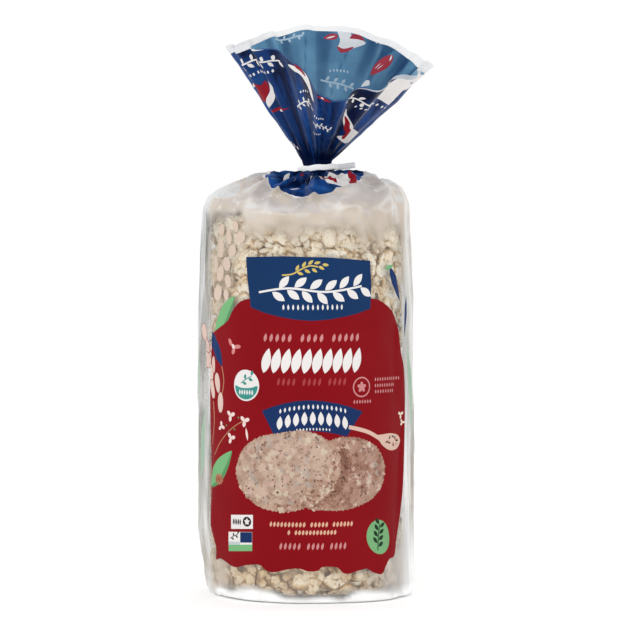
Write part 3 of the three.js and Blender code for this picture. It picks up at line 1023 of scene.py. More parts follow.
def body_grid():
    pts = []
    us = columns()
    end = PI * UNWRAP
    vs = np.concatenate([np.array([0, 0.6, 1.4, 2.4, 3.6, 5.0, 6.8, 9.0, 11.5, 14]), np.arange(17, WALL - 1, 3.0)])
    for v in vs:
        for u in us:
            pts.append((u, v))
        pts.append((end, v))
    fine = np.linspace(-end, end, 241)
    for v in np.concatenate([np.arange(WALL - 0.5, WALL + SHOULDER, 1.4), [WALL + SHOULDER, FILM_TOP - 2, FILM_TOP]]):
        for u in fine:
            pts.append((u, v))
    return np.array(pts)


def flounce_edge(u):
    """Where the blue print of the tail begins, below the tie."""
    a = u / UNWRAP - PI / 2
    cell = (a + PI / 2) / (2 * PI) * 40
    return (
        208
        + 27 * np.abs(np.cos(a - 0.04)) ** 1.9
        + 3 * smooth(np.cos(a), 0.55, 0.95)
        + 3.0 * noise(cell * 0.9, np.full_like(u, 0.5), 31, 36)
        + 1.8 * noise(cell * 2.2, np.full_like(u, 3.5), 32, 88)
    )


def flounce_fold_shade(a, v):
    """Painted shade in the folds of the print below the tie: dark lines gathered towards the neck, broad and patchy
    darkening, darkest near the neck.
    """
    t = smooth(v, 200, 246)
    cell = a / (2 * PI)
    lines = smooth(ridges(cell * 22 + 0.8 * t, t * 2, 33, 22), 0.35, 1.0)
    broad = smooth(noise(cell * 11, t * 3, 34, 11), -0.1, 0.7)
    patch = smooth(noise(cell * 30, v / 6, 36, 30), -0.1, 0.5)
    return np.clip(0.55 * lines + 0.5 * broad + 0.6 * patch + 0.45 * smooth(v, 234, 246), 0, 1)


def flounce_shapes():
    end = PI * UNWRAP
    u = np.linspace(-end, end, 300)
    low = np.stack([u, flounce_edge(u)], -1)
    ripple = noise((u + end) / (2 * end) * 50, np.full_like(u, 6.5), 35, 50)
    lower = np.stack([u, flounce_edge(u) - 0.12 - 1.5 * smooth(ripple, 0.05, 0.6)], -1)
    top = np.array([(end, FILM_TOP), (0, FILM_TOP), (-end, FILM_TOP)])
    s = [("white", np.concatenate([lower, top])), ("tailblue", np.concatenate([low, top]))]
    s.append(("white", loop([(6.0, 232.6), (14.0, 236.0), (24.0, 236.6), (33.0, 235.0), (36.0, 229.0), (33.0, 221.0), (27.0, 214.4), (22.4, 213.0), (17.0, 217.0), (11.0, 224.4)], 4)))
    s.append(("tailred", loop([(8.6, 231.2), (13.4, 234.0), (13.0, 230.4), (17.6, 231.6), (15.6, 227.6), (19.8, 228.1), (17.6, 224.4), (21.4, 223.4), (20.2, 219.4), (16.0, 222.0), (11.4, 226.6)], 3)))
    s.append(("tailred", loop([(27.6, 216.2), (32.4, 222.2), (35.4, 229.0), (38.6, 229.2), (36.6, 221.6), (31.4, 214.6)], 3)))
    s.append(("white", leaf((-14, 214.6), (-8, 218.4), 1.7)))
    s.append(("white", leaf((-5, 220.0), (-2.6, 226.0), 1.5)))
    s.append(("white", leaf((-30, 221.4), (-24, 224.6), 1.7)))
    s.append(("tailred", loop([(-22.0, 233.0), (-19.0, 235.2), (-16.6, 232.0), (-19.6, 229.6)], 3)))
    for x in (-40, -8, 70, 104, 130, -76, -110, -138):
        s.append(("white", leaf((x, 236.5), (x + 6, 229.5), 2.6)))
    s.append(("white", ellipse(-46.0, 239.5, 3.2, 1.0, 20, 12)))
    return s


def tail_ink(name, dark, middle, light, deep):
    """The tail's printed ground, with painted shade down in its folds and towards the neck."""
    n = Nodes(name)
    tint = n.ramp(n.noise(38, 4), [(0.25, srgb(*dark)), (0.55, srgb(*middle)), (0.8, srgb(*light))])
    # painted shade: the deep colour darkens the print down in the folds and towards the neck
    painted_fold_shade = n.ramp(n.attribute("painted_fold_shade"), [(0.0, (1, 1, 1, 1)), (1.0, deep)])
    tint = n.mix(1.0, tint, painted_fold_shade, "MULTIPLY")
    p = n.principled(
        Base_Color=tint,
        Roughness=0.36,
        Specular_IOR_Level=0.07,
        Normal=n.bump(n.noise(120, 3), 0.30, 0.0010),
    )
    return n.finish(p.outputs[0])


INKS["tailblue"] = tail_ink(
    "tail_blue", (20, 50, 104), (29, 76, 146), (56, 116, 184), (0.07, 0.09, 0.15, 1)
)
INKS["tailteal"] = tail_ink(
    "tail_teal", (74, 122, 160), (112, 160, 192), (160, 198, 220), (0.12, 0.23, 0.36, 1)
)


def place_body(verts):
    a = verts[:, 0] / UNWRAP - PI / 2
    return a, film_surface(a, verts[:, 1])


body_film, body_uv = printed(
    "film_body", body_grid(), front_print() + flounce_shapes(), CLEAR, place_body
)
body_angle = body_uv[:, 0] / UNWRAP - PI / 2
point_values(body_film, "haze", film_haze(body_angle, body_uv[:, 1]))
point_values(body_film, "warm", film_warm(body_angle, body_uv[:, 1]))
point_values(body_film, "pale", film_pale(body_angle, body_uv[:, 1]))
point_values(body_film, "painted_fold_shade", flounce_fold_shade(body_angle, body_uv[:, 1]))
point_values(
    body_film,
    "loose",
    loose_share(body_angle)
    * np.where(np.cos(body_angle) < 0, 1.0, 0.45)
    * (1 - smooth(body_uv[:, 1], 168, 194))
    * smooth(body_uv[:, 1], 5, 14),
)


def film_base():
    """The flat foot of the bag, with the film's folds drawn to the middle."""
    rings, steps = 16, 120
    a = np.arange(steps) / steps * 2 * PI - PI
    verts, haze = [], []
    for i in range(rings + 1):
        t = i / rings
        r = (body_radius(a, np.zeros(steps)) - base_corner(a) + 0.2) * (1 - t)
        lift = 0.15 + np.sin(PI * min(1, t * 1.15)) * (0.5 + 0.9 * ridges(a / (2 * PI) * 18, np.full(steps, t * 1.5), 41, 18))
        z = np.clip(lift, 0.15, 2.4)
        verts.append(np.stack([r * np.cos(a), r * np.sin(a), z], -1))
        haze.append(np.full(steps, 0.62) + 0.15 * noise(a / (2 * PI) * 36, np.full(steps, t * 4), 42, 36))
    faces = [
        (i * steps + j, i * steps + (j + 1) % steps, (i + 1) * steps + (j + 1) % steps, (i + 1) * steps + j)
        for i in range(rings)
        for j in range(steps)
    ]
    faces = [(a, b, c) for a, b, c, d in faces] + [(a, c, d) for a, b, c, d in faces]
    ob = new_mesh("film_base", np.concatenate(verts), np.array(faces)[:, ::-1], [CLEAR])
    point_values(ob, "haze", np.concatenate(haze))
    point_values(ob, "warm", np.zeros(steps * (rings + 1)))
    point_values(ob, "loose", np.zeros(steps * (rings + 1)))
    # the whole base lifted to white: the film's own whiteness and painted light against the shade at the floor
    point_values(ob, "pale", np.ones(steps * (rings + 1)))
    return ob


base_film = film_base()


# ------------------------------------------------------------------ the tail
def tail_offset(a, t):
    pleats = 2.1 * t**0.8 * (0.75 + 0.25 * np.cos(3 * a + 1))
    phase = 16 * a + 1.1 * noise(a / (2 * PI) * 9, t * 1.2, 51, 9)
    wave = np.cos(phase)
    wave = np.sign(wave) * np.abs(wave) ** 0.75
    creases = ridges(a / (2 * PI) * 23 + 0.5 * t, t * 1.4, 52, 23) - 0.5
    fine = noise(a / (2 * PI) * 60, t * 5, 53, 60)
    crinkle = ridges(a / (2 * PI) * 40 + 3 * t, t * 9, 57, 40) - 0.5
    return pleats * wave + 1.1 * t * creases + (0.30 + 0.22 * t) * fine + 0.22 * crinkle


def tail_fold_shade(a, t, inside):
    """Painted shade on the tail: 0 on the crests of its folds, 1 deep between them and down at the neck."""
    t = np.maximum(t, 0)
    phase = 16 * a + 1.1 * noise(a / (2 * PI) * 9, t * 1.2, 51, 9)
    wave = np.cos(phase) * (-1 if inside else 1)
    valley = smooth(-wave, 0.25, 1.0) * (0.55 + 0.45 * noise(a / (2 * PI) * 16, t * 2.2, 58, 16))
    lines = smooth(ridges(a / (2 * PI) * 31 + 1.2 * t, t * 1.7, 59, 31), 0.72, 1.0)
    broad = 0.5 + 0.5 * noise(a / (2 * PI) * 7, t * 1.6 + 0.4, 60, 7)
    neck = 1 - smooth(t, 0.0, 0.30)
    strip = smooth(noise(a / (2 * PI) * 44, t * 1.1, 65, 44), 0.05, 0.45)
    # painted shade in the valleys, along fold lines, in broad patches and towards the neck
    f = 0.66 * valley + 0.52 * lines + 0.55 * smooth(broad, 0.44, 0.80) + 0.60 * neck
    f = f + (0.54 if inside else 0.44) * strip
    return np.clip(f, 0, 1)


def tail_point(a, t, lift):
    """The tail at angle a, share t of its length, lift mm outside the middle of the film."""
    k = tail_dir(a)
    out = np.stack([np.cos(a), np.sin(a), np.zeros_like(a)], -1)
    out -= k * (out * k).sum(-1, keepdims=True)
    out /= np.linalg.norm(out, axis=-1, keepdims=True)
    low = np.maximum(0, -t) * 70  # below the neck the film draws in and runs down inside the tie
    r = (neck_radius(a) - 0.2) * (1 - 0.15 * smooth(low, 0, 4.0))
    tt = np.maximum(t, 0)
    p = np.stack([NECK_X + r * np.cos(a), r * np.sin(a), NECK_TOP - low], -1)
    curl = 1.6 * smooth(tt, 0.86, 1.0) * noise(a / (2 * PI) * 14, np.full_like(a, 0.5), 54, 14)
    return p + k * (tail_length(a) * tt)[:, None] + out * (tail_offset(a, tt) + curl + lift)[:, None]


def rim_width(a):
    """How much of the mouth is left clear, in mm: most at the two sides, next to none in front."""
    side = np.abs(np.cos(a)) ** 4
    back = np.maximum(0, np.sin(a)) ** 0.5
    return 0.3 + 2.7 * back + 4.8 * side


def tail_grid():
    pts = []
    for d in np.concatenate([[-6.0, -3.0, 0.0], np.arange(1.2, TAIL_SPAN + 0.01, 1.376)]):
        for x in np.linspace(-180, 180, 289):
            pts.append((x, min(d, TAIL_SPAN)))
    return np.array(pts)


def deg(points):
    """Shapes of the tail are given by angle and distance from the neck; the sheet wants shares."""
    out = []
    for a, d in points:
        a = (a + 90 + 180) % 360 - 180
        out.append((a, d / float(tail_length(np.array(math.radians(a - 90)))) * TAIL_SPAN))
    return out


def rim_band():
    x = np.linspace(-180, 180, 145)
    edge = TAIL_SPAN - rim_width(np.radians(x) - PI / 2)
    edge = edge + 0.5 * noise((x + 180) / 360 * 24, np.full_like(x, 0.5), 55, 24)
    edge = np.minimum(edge, TAIL_SPAN - 0.45)
    mouth = np.linspace(180, -180, 289)
    return np.concatenate([np.stack([x, edge], -1), np.stack([mouth, np.full_like(mouth, TAIL_SPAN)], -1)])


def front_edge():
    """The cut edge at the front of the mouth, where the print runs right up to it."""
    mouth = np.linspace(-180, 180, 289)
    mouth = mouth[(mouth >= -46) & (mouth <= 50)]
    share = 1 - np.abs((mouth - 2) / 48.5) ** 4
    low = TAIL_SPAN - 0.15 - 0.95 * share
    return np.concatenate([np.stack([mouth, low], -1), np.stack([mouth[::-1], np.full_like(mouth, TAIL_SPAN)], -1)])


def in_sheet(shapes):
    """Shapes of the tail kept inside its sheet."""
    out = []
    for name, poly in shapes:
        poly = poly.copy()
        if name not in ("rim", "edgeout", "edgein"):
            poly[:, 1] = np.minimum(poly[:, 1], TAIL_SPAN - 0.3)
            poly[:, 0] = np.clip(poly[:, 0], -179.2, 179.2)
        out.append((name, poly))
    return out


def tail_row(ink_name, a0, d0, a1, d1, height, width, count):
    """A row of grains on the tail, where its print had words."""
    s = []
    for i in range(count):
        t = (i + 0.5) / count
        a, d = mix(a0, a1, t), mix(d0, d1, t)
        s.append((ink_name, leaf(*deg([(a - 0.4, d - height / 2), (a + 0.4, d + height / 2)]), width, 0.46)))
    return s


def tail_sprig(ink_name, a0, d0, a1, d1, leaves, length, width, bow=1.2):
    """A plain sprig on the tail, in the place of a large word."""
    p = deg([(a0, d0), (mix(a0, a1, 0.5), mix(d0, d1, 0.5) + bow), (a1, d1)])
    return sprig(ink_name, p, leaves, length, width, 0.9, 52)


def outside_shapes():
    s = [
        ("tailred", loop(deg([(-170, 43.5), (-158.5, 45.5), (-152, 43.4), (-147, 44.6), (-146, 41), (-150, 38), (-160, 34.5), (-172, 34), (-179, 37)]), 4)),
        ("white", loop(deg([(-140, 45.2), (-135.5, 41.6), (-138, 38.4), (-145, 35), (-153, 32.2), (-163, 31), (-157, 35), (-148, 38.6), (-144.5, 41.6)]), 4)),
        ("white", leaf(*deg([(-179, 43.6), (-163, 46.6)]), 2.4)),
        ("tailred", leaf(*deg([(-167, 28.8), (-127, 28.8)]), 1.8)),
        ("white", ellipse(*deg([(-146, 27.6)])[0], 2.2, 0.8)),
        ("white", loop(deg([(-114, 56.4), (-106, 58.8), (-99, 58.4), (-95.5, 54), (-94, 48.5), (-98.5, 51.4), (-105, 54.4)]), 4)),
        ("tailred", loop(deg([(-109.5, 59.2), (-103.5, 59.0), (-101.5, 57.0), (-107, 57.0)]), 4)),
        ("tailred", leaf(*deg([(-91, 56.6), (-77.5, 57.4)]), 2.8)),
        ("white", ellipse(*deg([(-86, 57.0)])[0], 1.3, 0.8)),
        ("white", loop(deg([(-60.5, 48.0), (-51.5, 38.0), (-42, 30), (-33.0, 24.8), (-12.0, 18.6), (-18, 15.6), (-30, 13.4), (-53.0, 20.4), (-44.5, 22.6), (-50.5, 29.6), (-55.0, 36.0)]), 4)),
        ("tailred", loop(deg([(-54.5, 38.4), (-48, 33.6), (-44.5, 28.6), (-37, 25), (-33, 20.6), (-40.0, 18.4), (-46.5, 20.0), (-45.6, 24), (-50.0, 28.0), (-51.2, 33)]), 4)),
        ("white", loop(deg([(-36.5, 50.8), (-31.5, 58.0), (-26.0, 64.5), (-13.5, 67.0), (1.5, 67.0), (1.0, 56.5), (-6.5, 47.8), (-14.0, 42.2), (-24, 44.6)]), 4)),
        ("tailteal", leaf(*deg([(-20, 47.6), (-3, 55.6)]), 3.4)),
        ("tailteal", leaf(*deg([(-12, 60), (0, 63)]), 1.8)),
    ]
    s += tail_sprig("white", -174, 55.4, -122, 54.6, 13, 4.6, 2.3)
    s += tail_row("white", -174, 49.8, -128, 49.6, 1.6, 1.5, 14)
    s += tail_sprig("white", -115, 31.6, -98, 41.4, 7, 3.6, 1.7)
    s += tail_row("white", -109, 42.6, -100, 47.6, 1.6, 1.0, 4)
    s += tail_sprig("white", -97, 29.6, -73, 31.2, 8, 3.9, 1.9)
    s += tail_row("white", -95, 37.0, -82, 38.6, 1.7, 1.3, 5)
    s += tail_row("white", -99, 20.6, -84, 24.0, 1.4, 1.3, 5)
    s += tail_sprig("white", -66, 57.2, -37, 46.0, 8, 4.2, 2.1)
    s += tail_row("white", -52, 47.4, -8, 38.4, 1.7, 1.5, 13)
    s += tail_row("white", -163, 11.2, -150, 6.0, 2.2, 2.6, 3)
    # the same plain shapes carried on round the back
    for x in (30, 66, 100, 140):
        s.append(("white", loop(deg([(x, 44), (x + 9, 40), (x + 14, 30), (x + 4, 33)]), 4)))
        s.append(("tailred", leaf(*deg([(x + 3, 40), (x + 10, 31)]), 3.0)))
    for x in (14, 50, 96, 128):
        s += tail_sprig("white", x, 56, x + 24, 56, 7, 5.0, 2.4)
    s.append(("rim", rim_band()))
    s.append(("edgeout", front_edge()))
    return in_sheet(s)


def inside_shapes():
    s = [
        ("tailwhitein", loop(deg([(83, 72.4), (76.6, 72.4), (75.8, 67.8), (69.5, 66.8), (72, 63), (76.5, 60), (80.8, 60), (80.2, 64), (81.5, 68)]), 4)),
        ("tailredin", loop(deg([(76.4, 66.4), (75.2, 69.0), (73, 70.0), (71.6, 68.9), (70.2, 67.4), (73, 66.8)]), 4)),
        ("tailredin", loop(deg([(81.2, 61.2), (78, 60.4), (73.6, 62.4), (75.6, 59.4), (79, 58.0)]), 4)),
        ("tailredin", loop(deg([(87.4, 65.6), (85.5, 67.8), (83.0, 68.4), (81.5, 66.4), (83.4, 64.8)]), 4)),
        ("tailwhitein", leaf(*deg([(86.4, 65.6), (82.6, 67.0)]), 0.9)),
        ("tailredin", loop(deg([(58.4, 50.8), (59.8, 55.8), (57.0, 61.0), (52.2, 64.6), (50.0, 62.2), (50.4, 56.8), (54.6, 52.0)]), 4)),
        ("tailwhitein", leaf(*deg([(51.2, 61.0), (52.2, 64.6)]), 1.1)),
        ("tailwhitein", leaf(*deg([(57.8, 54.2), (55.6, 58.2)]), 0.6)),
        ("tailwhitein", leaf(*deg([(55.6, 54.2), (53.4, 58.0)]), 0.5)),
        ("tailwhitein", loop(deg([(60.8, 43.2), (60.2, 46.4), (57, 47.6), (54.6, 45.0)]), 3)),
        ("tailredin", leaf(*deg([(146, 66), (128, 69)]), 1.8)),
    ]
    s += tail_sprig("tailpalein", 88, 43.2, 66.5, 41.6, 8, 3.6, 1.7, -0.8)
    s += tail_row("tailpalein", 84, 48.2, 72, 48.8, 1.5, 1.0, 6)
    s += tail_sprig("tailpalein", 118, 66.2, 99, 66.6, 7, 2.6, 1.3, 0.3)
    s += tail_row("tailpalein", 66, 69.0, 58, 69.4, 1.8, 1.2, 4)
    for x in (160, -150, -110, 10, -30, -70):
        s.append(("tailwhitein", loop(deg([(x, 47), (x + 8, 43), (x + 12, 33), (x + 3, 36)]), 4)))
        s.append(("tailredin", leaf(*deg([(x + 2, 43), (x + 9, 34)]), 2.8)))
    s.append(("rim", rim_band()))
    s.append(("edgein", front_edge()))
    return in_sheet(s)


INKS["rim"] = RIM
INKS["edgeout"] = ink("ink_edge_outside", srgb(62, 98, 148), 0.12)
INKS["edgein"] = ink("ink_edge_inside", srgb(104, 144, 178), 0.12)


def place_tail(lift):
    def place(verts):
        a = np.radians(verts[:, 0]) - PI / 2
        t = verts[:, 1] / TAIL_SPAN
        return a, tail_point(a, t, np.full_like(a, lift))

    return place


tail_out, tail_uv = printed("film_tail_outside", tail_grid(), outside_shapes(), INKS["tailblue"], place_tail(0.12))


def past_rim(mid):
    return mid[:, 1] > TAIL_SPAN - rim_width(np.radians(mid[:, 0]) - PI / 2) + 0.3


tail_in, tail_uv2 = printed(
    "film_tail_inside",
    tail_grid(),
    inside_shapes(),
    INKS["tailteal"],
    place_tail(-0.12),
    past_rim,
)
for sheet, uv, inner in ((tail_out, tail_uv, False), (tail_in, tail_uv2, True)):
    point_values(
        sheet, "painted_fold_shade", tail_fold_shade(np.radians(uv[:, 0]) - PI / 2, uv[:, 1] / TAIL_SPAN, inner)
    )


# ------------------------------------------------------------------ the tie
def tie_material():
    n = Nodes("tie_white")
    tint = n.ramp(n.noise(120, 3), [(0.3, (0.93, 0.94, 0.95, 1)), (0.7, (0.97, 0.975, 0.98, 1))])
    ribs = n.noise(900, 1, stretch=(1, 1, 0.05))
    p = n.principled(Base_Color=tint, Roughness=0.38, Coat_Weight=0.2, Normal=n.bump(ribs, 0.3, 0.0002))
    return n.finish(p.outputs[0])


def ribbon(name, path, height, thick, material, droop=None):
    """A flat strip set on edge along a path, with rounded long edges."""
    p = np.array(path, float)
    g = np.gradient(p, axis=0)
    g /= np.linalg.norm(g, axis=1, keepdims=True)
    up = np.array([0, 0, 1.0])
    side = np.cross(g, up)
    side /= np.linalg.norm(side, axis=1, keepdims=True)
    rise = np.cross(side, g)
    q = np.linspace(0, 2 * PI, 17)[:-1]
    cx, cy = np.cos(q), np.sin(q)
    ex = np.sign(cx) * np.abs(cx) ** 0.6 * thick / 2
    ey = np.sign(cy) * np.abs(cy) ** 0.35 * height / 2
    rings = [p[i] + np.outer(ex, side[i]) + np.outer(ey, rise[i]) for i in range(len(p))]
    n, k = len(p), len(q)
    verts = np.concatenate(rings + [p[:1], p[-1:]])
    faces = []
    for i in range(n - 1):
        for j in range(k):
            a, b = i * k + j, i * k + (j + 1) % k
            faces += [(a, b, b + k), (a, b + k, a + k)]
    for j in range(k):
        faces += [(n * k, (j + 1) % k, j), (n * k + 1, (n - 1) * k + j, (n - 1) * k + (j + 1) % k)]
    return new_mesh(name, verts, np.array(faces), [material])


TIE_Z = 211.7


def tie_path():
    tilt = math.tan(math.radians(4.5))
    path = []
    for i in range(90):
        q = i / 89
        a = math.radians(20 + 352 * q)
        grow = 0.9 * q
        x = (NECK_RX + 1.5 + grow) * math.cos(a)
        y = (NECK_RY + 1.5 + grow) * math.sin(a)
        wob = 0.18 * math.sin(7 * a)
        path.append((NECK_X + x, y, TIE_Z + x * tilt + wob - 0.5 * q * 0))
    last = path[-1]
    for i in range(1, 16):
        t = i / 15
        x = last[0] - NECK_X + 9.2 * t
        path.append((NECK_X + x, last[1] + 2.4 * t - 1.2 * t * t, TIE_Z + x * tilt + 0.5 * t))
    return path


tie_piece = ribbon("tie_strip", tie_path(), 2.9, 0.75, tie_material())


# ------------------------------------------------------------------ the cakes
def cake_material():
    n = Nodes("puffed_rice")
    tone = n.attribute("tone")
    crown = n.attribute("crown")
    body = n.ramp(
        tone,
        [
            (0.0, (0.72, 0.54, 0.34, 1)),
            (0.16, (0.84, 0.68, 0.46, 1)),
            (0.5, (0.97, 0.85, 0.66, 1)),
            (1.0, (0.99, 0.95, 0.85, 1)),
        ],
    )
    # painted shade: darker brown low on each grain and in its hollows, by the crown attribute
    crease = n.ramp(crown, [(0.0, (0.42, 0.30, 0.18, 1)), (0.24, (0.82, 0.70, 0.53, 1)), (0.50, (1, 1, 1, 1))])
    col = n.mix(1.0, body, crease, "MULTIPLY")
    patch = n.ramp(n.noise(75, 2), [(0.34, (0.78, 0.66, 0.50, 1)), (0.46, (1, 1, 1, 1))])
    col = n.mix(0.85, col, patch, "MULTIPLY")
    crumb = n.noise(330, 4, 0.7)
    fleck = n.ramp(crumb, [(0.36, (0.56, 0.43, 0.28, 1)), (0.45, (0.96, 0.92, 0.86, 1)), (0.58, (1, 1, 1, 1))])
    col = n.mix(0.85, col, fleck, "MULTIPLY")
    normal = n.bump(crumb, 0.85, 0.0016)
    p = n.principled(Base_Color=col, Roughness=0.8, Specular_IOR_Level=0.2, Normal=normal)
    return n.finish(p.outputs[0])


def core_material():
    n = Nodes("cake_core")
    # darker brown than the grains: the rice's own tan, deepened as painted shade for the gaps between the grains
    col = n.ramp(n.noise(260, 4), [(0.3, (0.34, 0.22, 0.12, 1)), (0.55, (0.60, 0.44, 0.27, 1)), (0.8, (0.80, 0.65, 0.45, 1))])
    p = n.principled(Base_Color=col, Roughness=0.85, Normal=n.bump(n.noise(420, 3), 0.6, 0.001))
    return n.finish(p.outputs[0])


def seed_material():
    n = Nodes("dark_grain")
    col = n.ramp(n.noise(500, 3), [(0.3, srgb(84, 62, 46)), (0.7, srgb(132, 104, 78))])
    p = n.principled(Base_Color=col, Roughness=0.6, Normal=n.bump(n.noise(900, 2), 0.3, 0.0004))
    return n.finish(p.outputs[0])


RICE, CORE, SEED = cake_material(), core_material(), seed_material()


def dome(rings, steps, depth=1.25):
    """A half-ball, a little deeper than half, on its open rim."""
    verts = [(0, 0, 1)]
    for i in range(1, rings + 1):
        q = i / rings * PI / 2 * depth
        for j in range(steps):
            f = (j + 0.5 * (i % 2)) / steps * 2 * PI
            verts.append((math.sin(q) * math.cos(f), math.sin(q) * math.sin(f), math.cos(q)))
    faces = [(0, 1 + j, 1 + (j + 1) % steps) for j in range(steps)]
    for i in range(rings - 1):
        for j in range(steps):
            a, b = 1 + i * steps + j, 1 + i * steps + (j + 1) % steps
            c, d = a + steps, b + steps
            if i % 2:
                faces += [(a, c, d), (a, d, b)]
            else:
                faces += [(a, c, b), (b, c, d)]
    return np.array(verts), np.array(faces)


DOME, DOME_FACES = dome(6, 12)


def grains(centres, outward, rng, size, squash=0.55, lumps=0.34, tilt=0.30, rough=0.07, slim=1.0):
    """A puffed grain at each centre: leaning, turned, lumped and sized at random."""
    n = len(centres)
    size = np.broadcast_to(np.asarray(size, float), (n,))[:, None, None]
    outward = outward + rng.normal(0, tilt, (n, 3))
    outward /= np.linalg.norm(outward, axis=1, keepdims=True)
    ref = np.tile([0.0, 0.0, 1.0], (n, 1))
    flat = np.abs(outward[:, 2]) > 0.9
    ref[flat] = (1, 0, 0)
    t1 = np.cross(ref, outward)
    t1 /= np.linalg.norm(t1, axis=1, keepdims=True)
    t2 = np.cross(outward, t1)
    w = rng.uniform(0, 2 * PI, n)[:, None]
    e1, e2 = t1 * np.cos(w) + t2 * np.sin(w), t2 * np.cos(w) - t1 * np.sin(w)
    length = size * rng.uniform(0.80, 1.42, n)[:, None, None]
    width = slim * size * rng.uniform(0.60, 1.10, n)[:, None, None]
    height = size * squash * rng.uniform(0.65, 1.45, n)[:, None, None]
    unit = (np.sign(DOME) * np.abs(DOME) ** 0.80)[None] + rng.normal(0, rough, (n, len(DOME), 3))
    # bursts and hollows on each grain
    swell = np.ones((n, len(DOME)))
    for _ in range(7):
        way = rng.normal(size=(n, 3))
        way[:, 2] = np.abs(way[:, 2]) * 0.8
        way /= np.linalg.norm(way, axis=1, keepdims=True)
        near = np.einsum("nk,vk->nv", way, DOME)
        swell += lumps * rng.uniform(-1.0, 1.0, n)[:, None] * np.clip((near - 0.35) / 0.65, 0, 1) ** 2
    swell = np.clip(swell, 0.5, 1.7)
    # crown: near 1 high and swollen on the grain, near 0 low and hollow, where the rice material paints shade
    crown = np.clip(DOME[:, 2][None] * (0.75 + 0.45 * (swell - 0.6)), 0, 1)
    swell = swell[:, :, None]
    p = (
        centres[:, None]
        + swell * unit[:, :, 0:1] * length / 2 * e1[:, None]
        + swell * unit[:, :, 1:2] * width / 2 * e2[:, None]
        + swell * unit[:, :, 2:3] * height / 2 * outward[:, None]
    )
    faces = DOME_FACES[None] + (np.arange(n) * len(DOME))[:, None, None]
    tone = np.clip(rng.normal(0.58, 0.15, n), 0, 1)
    tone[rng.random(n) < 0.05] = 0.05
    tones = np.repeat(tone, len(DOME))
    return p.reshape(-1, 3), faces.reshape(-1, 3), tones, crown.ravel()


def rim_profile(s, radius, thick, corner):
    """A cake's rim from underneath to on top: (r, z, outward r, outward z) at share s."""
    straight = thick - 2 * corner
    total = PI * corner + straight
    d = s * total
    if d < PI / 2 * corner:
        q = -PI / 2 + d / corner
        return radius - corner + corner * math.cos(q), corner + corner * math.sin(q), math.cos(q), math.sin(q)
    d -= PI / 2 * corner
    if d < straight:
        return radius, corner + d, 1.0, 0.0
    q = (d - straight) / corner
    return (
        radius - corner + corner * math.cos(q),
        thick - corner + corner * math.sin(q),
        math.cos(q),
        math.sin(q),
    )


def inside_film(verts):
    """Points drawn in wherever they would stand out through the film."""
    reach = np.hypot(verts[:, 0], verts[:, 1])
    angle = np.arctan2(verts[:, 1], verts[:, 0])
    corner = (1 - smooth(verts[:, 2], 9, 17)) * np.cos(angle) ** 2
    limit = np.minimum(48.3, body_radius(angle, verts[:, 2]) - 0.9 - 1.7 * corner)
    over = reach > limit
    verts[over, :2] *= (limit / reach)[over][:, None]
    return verts


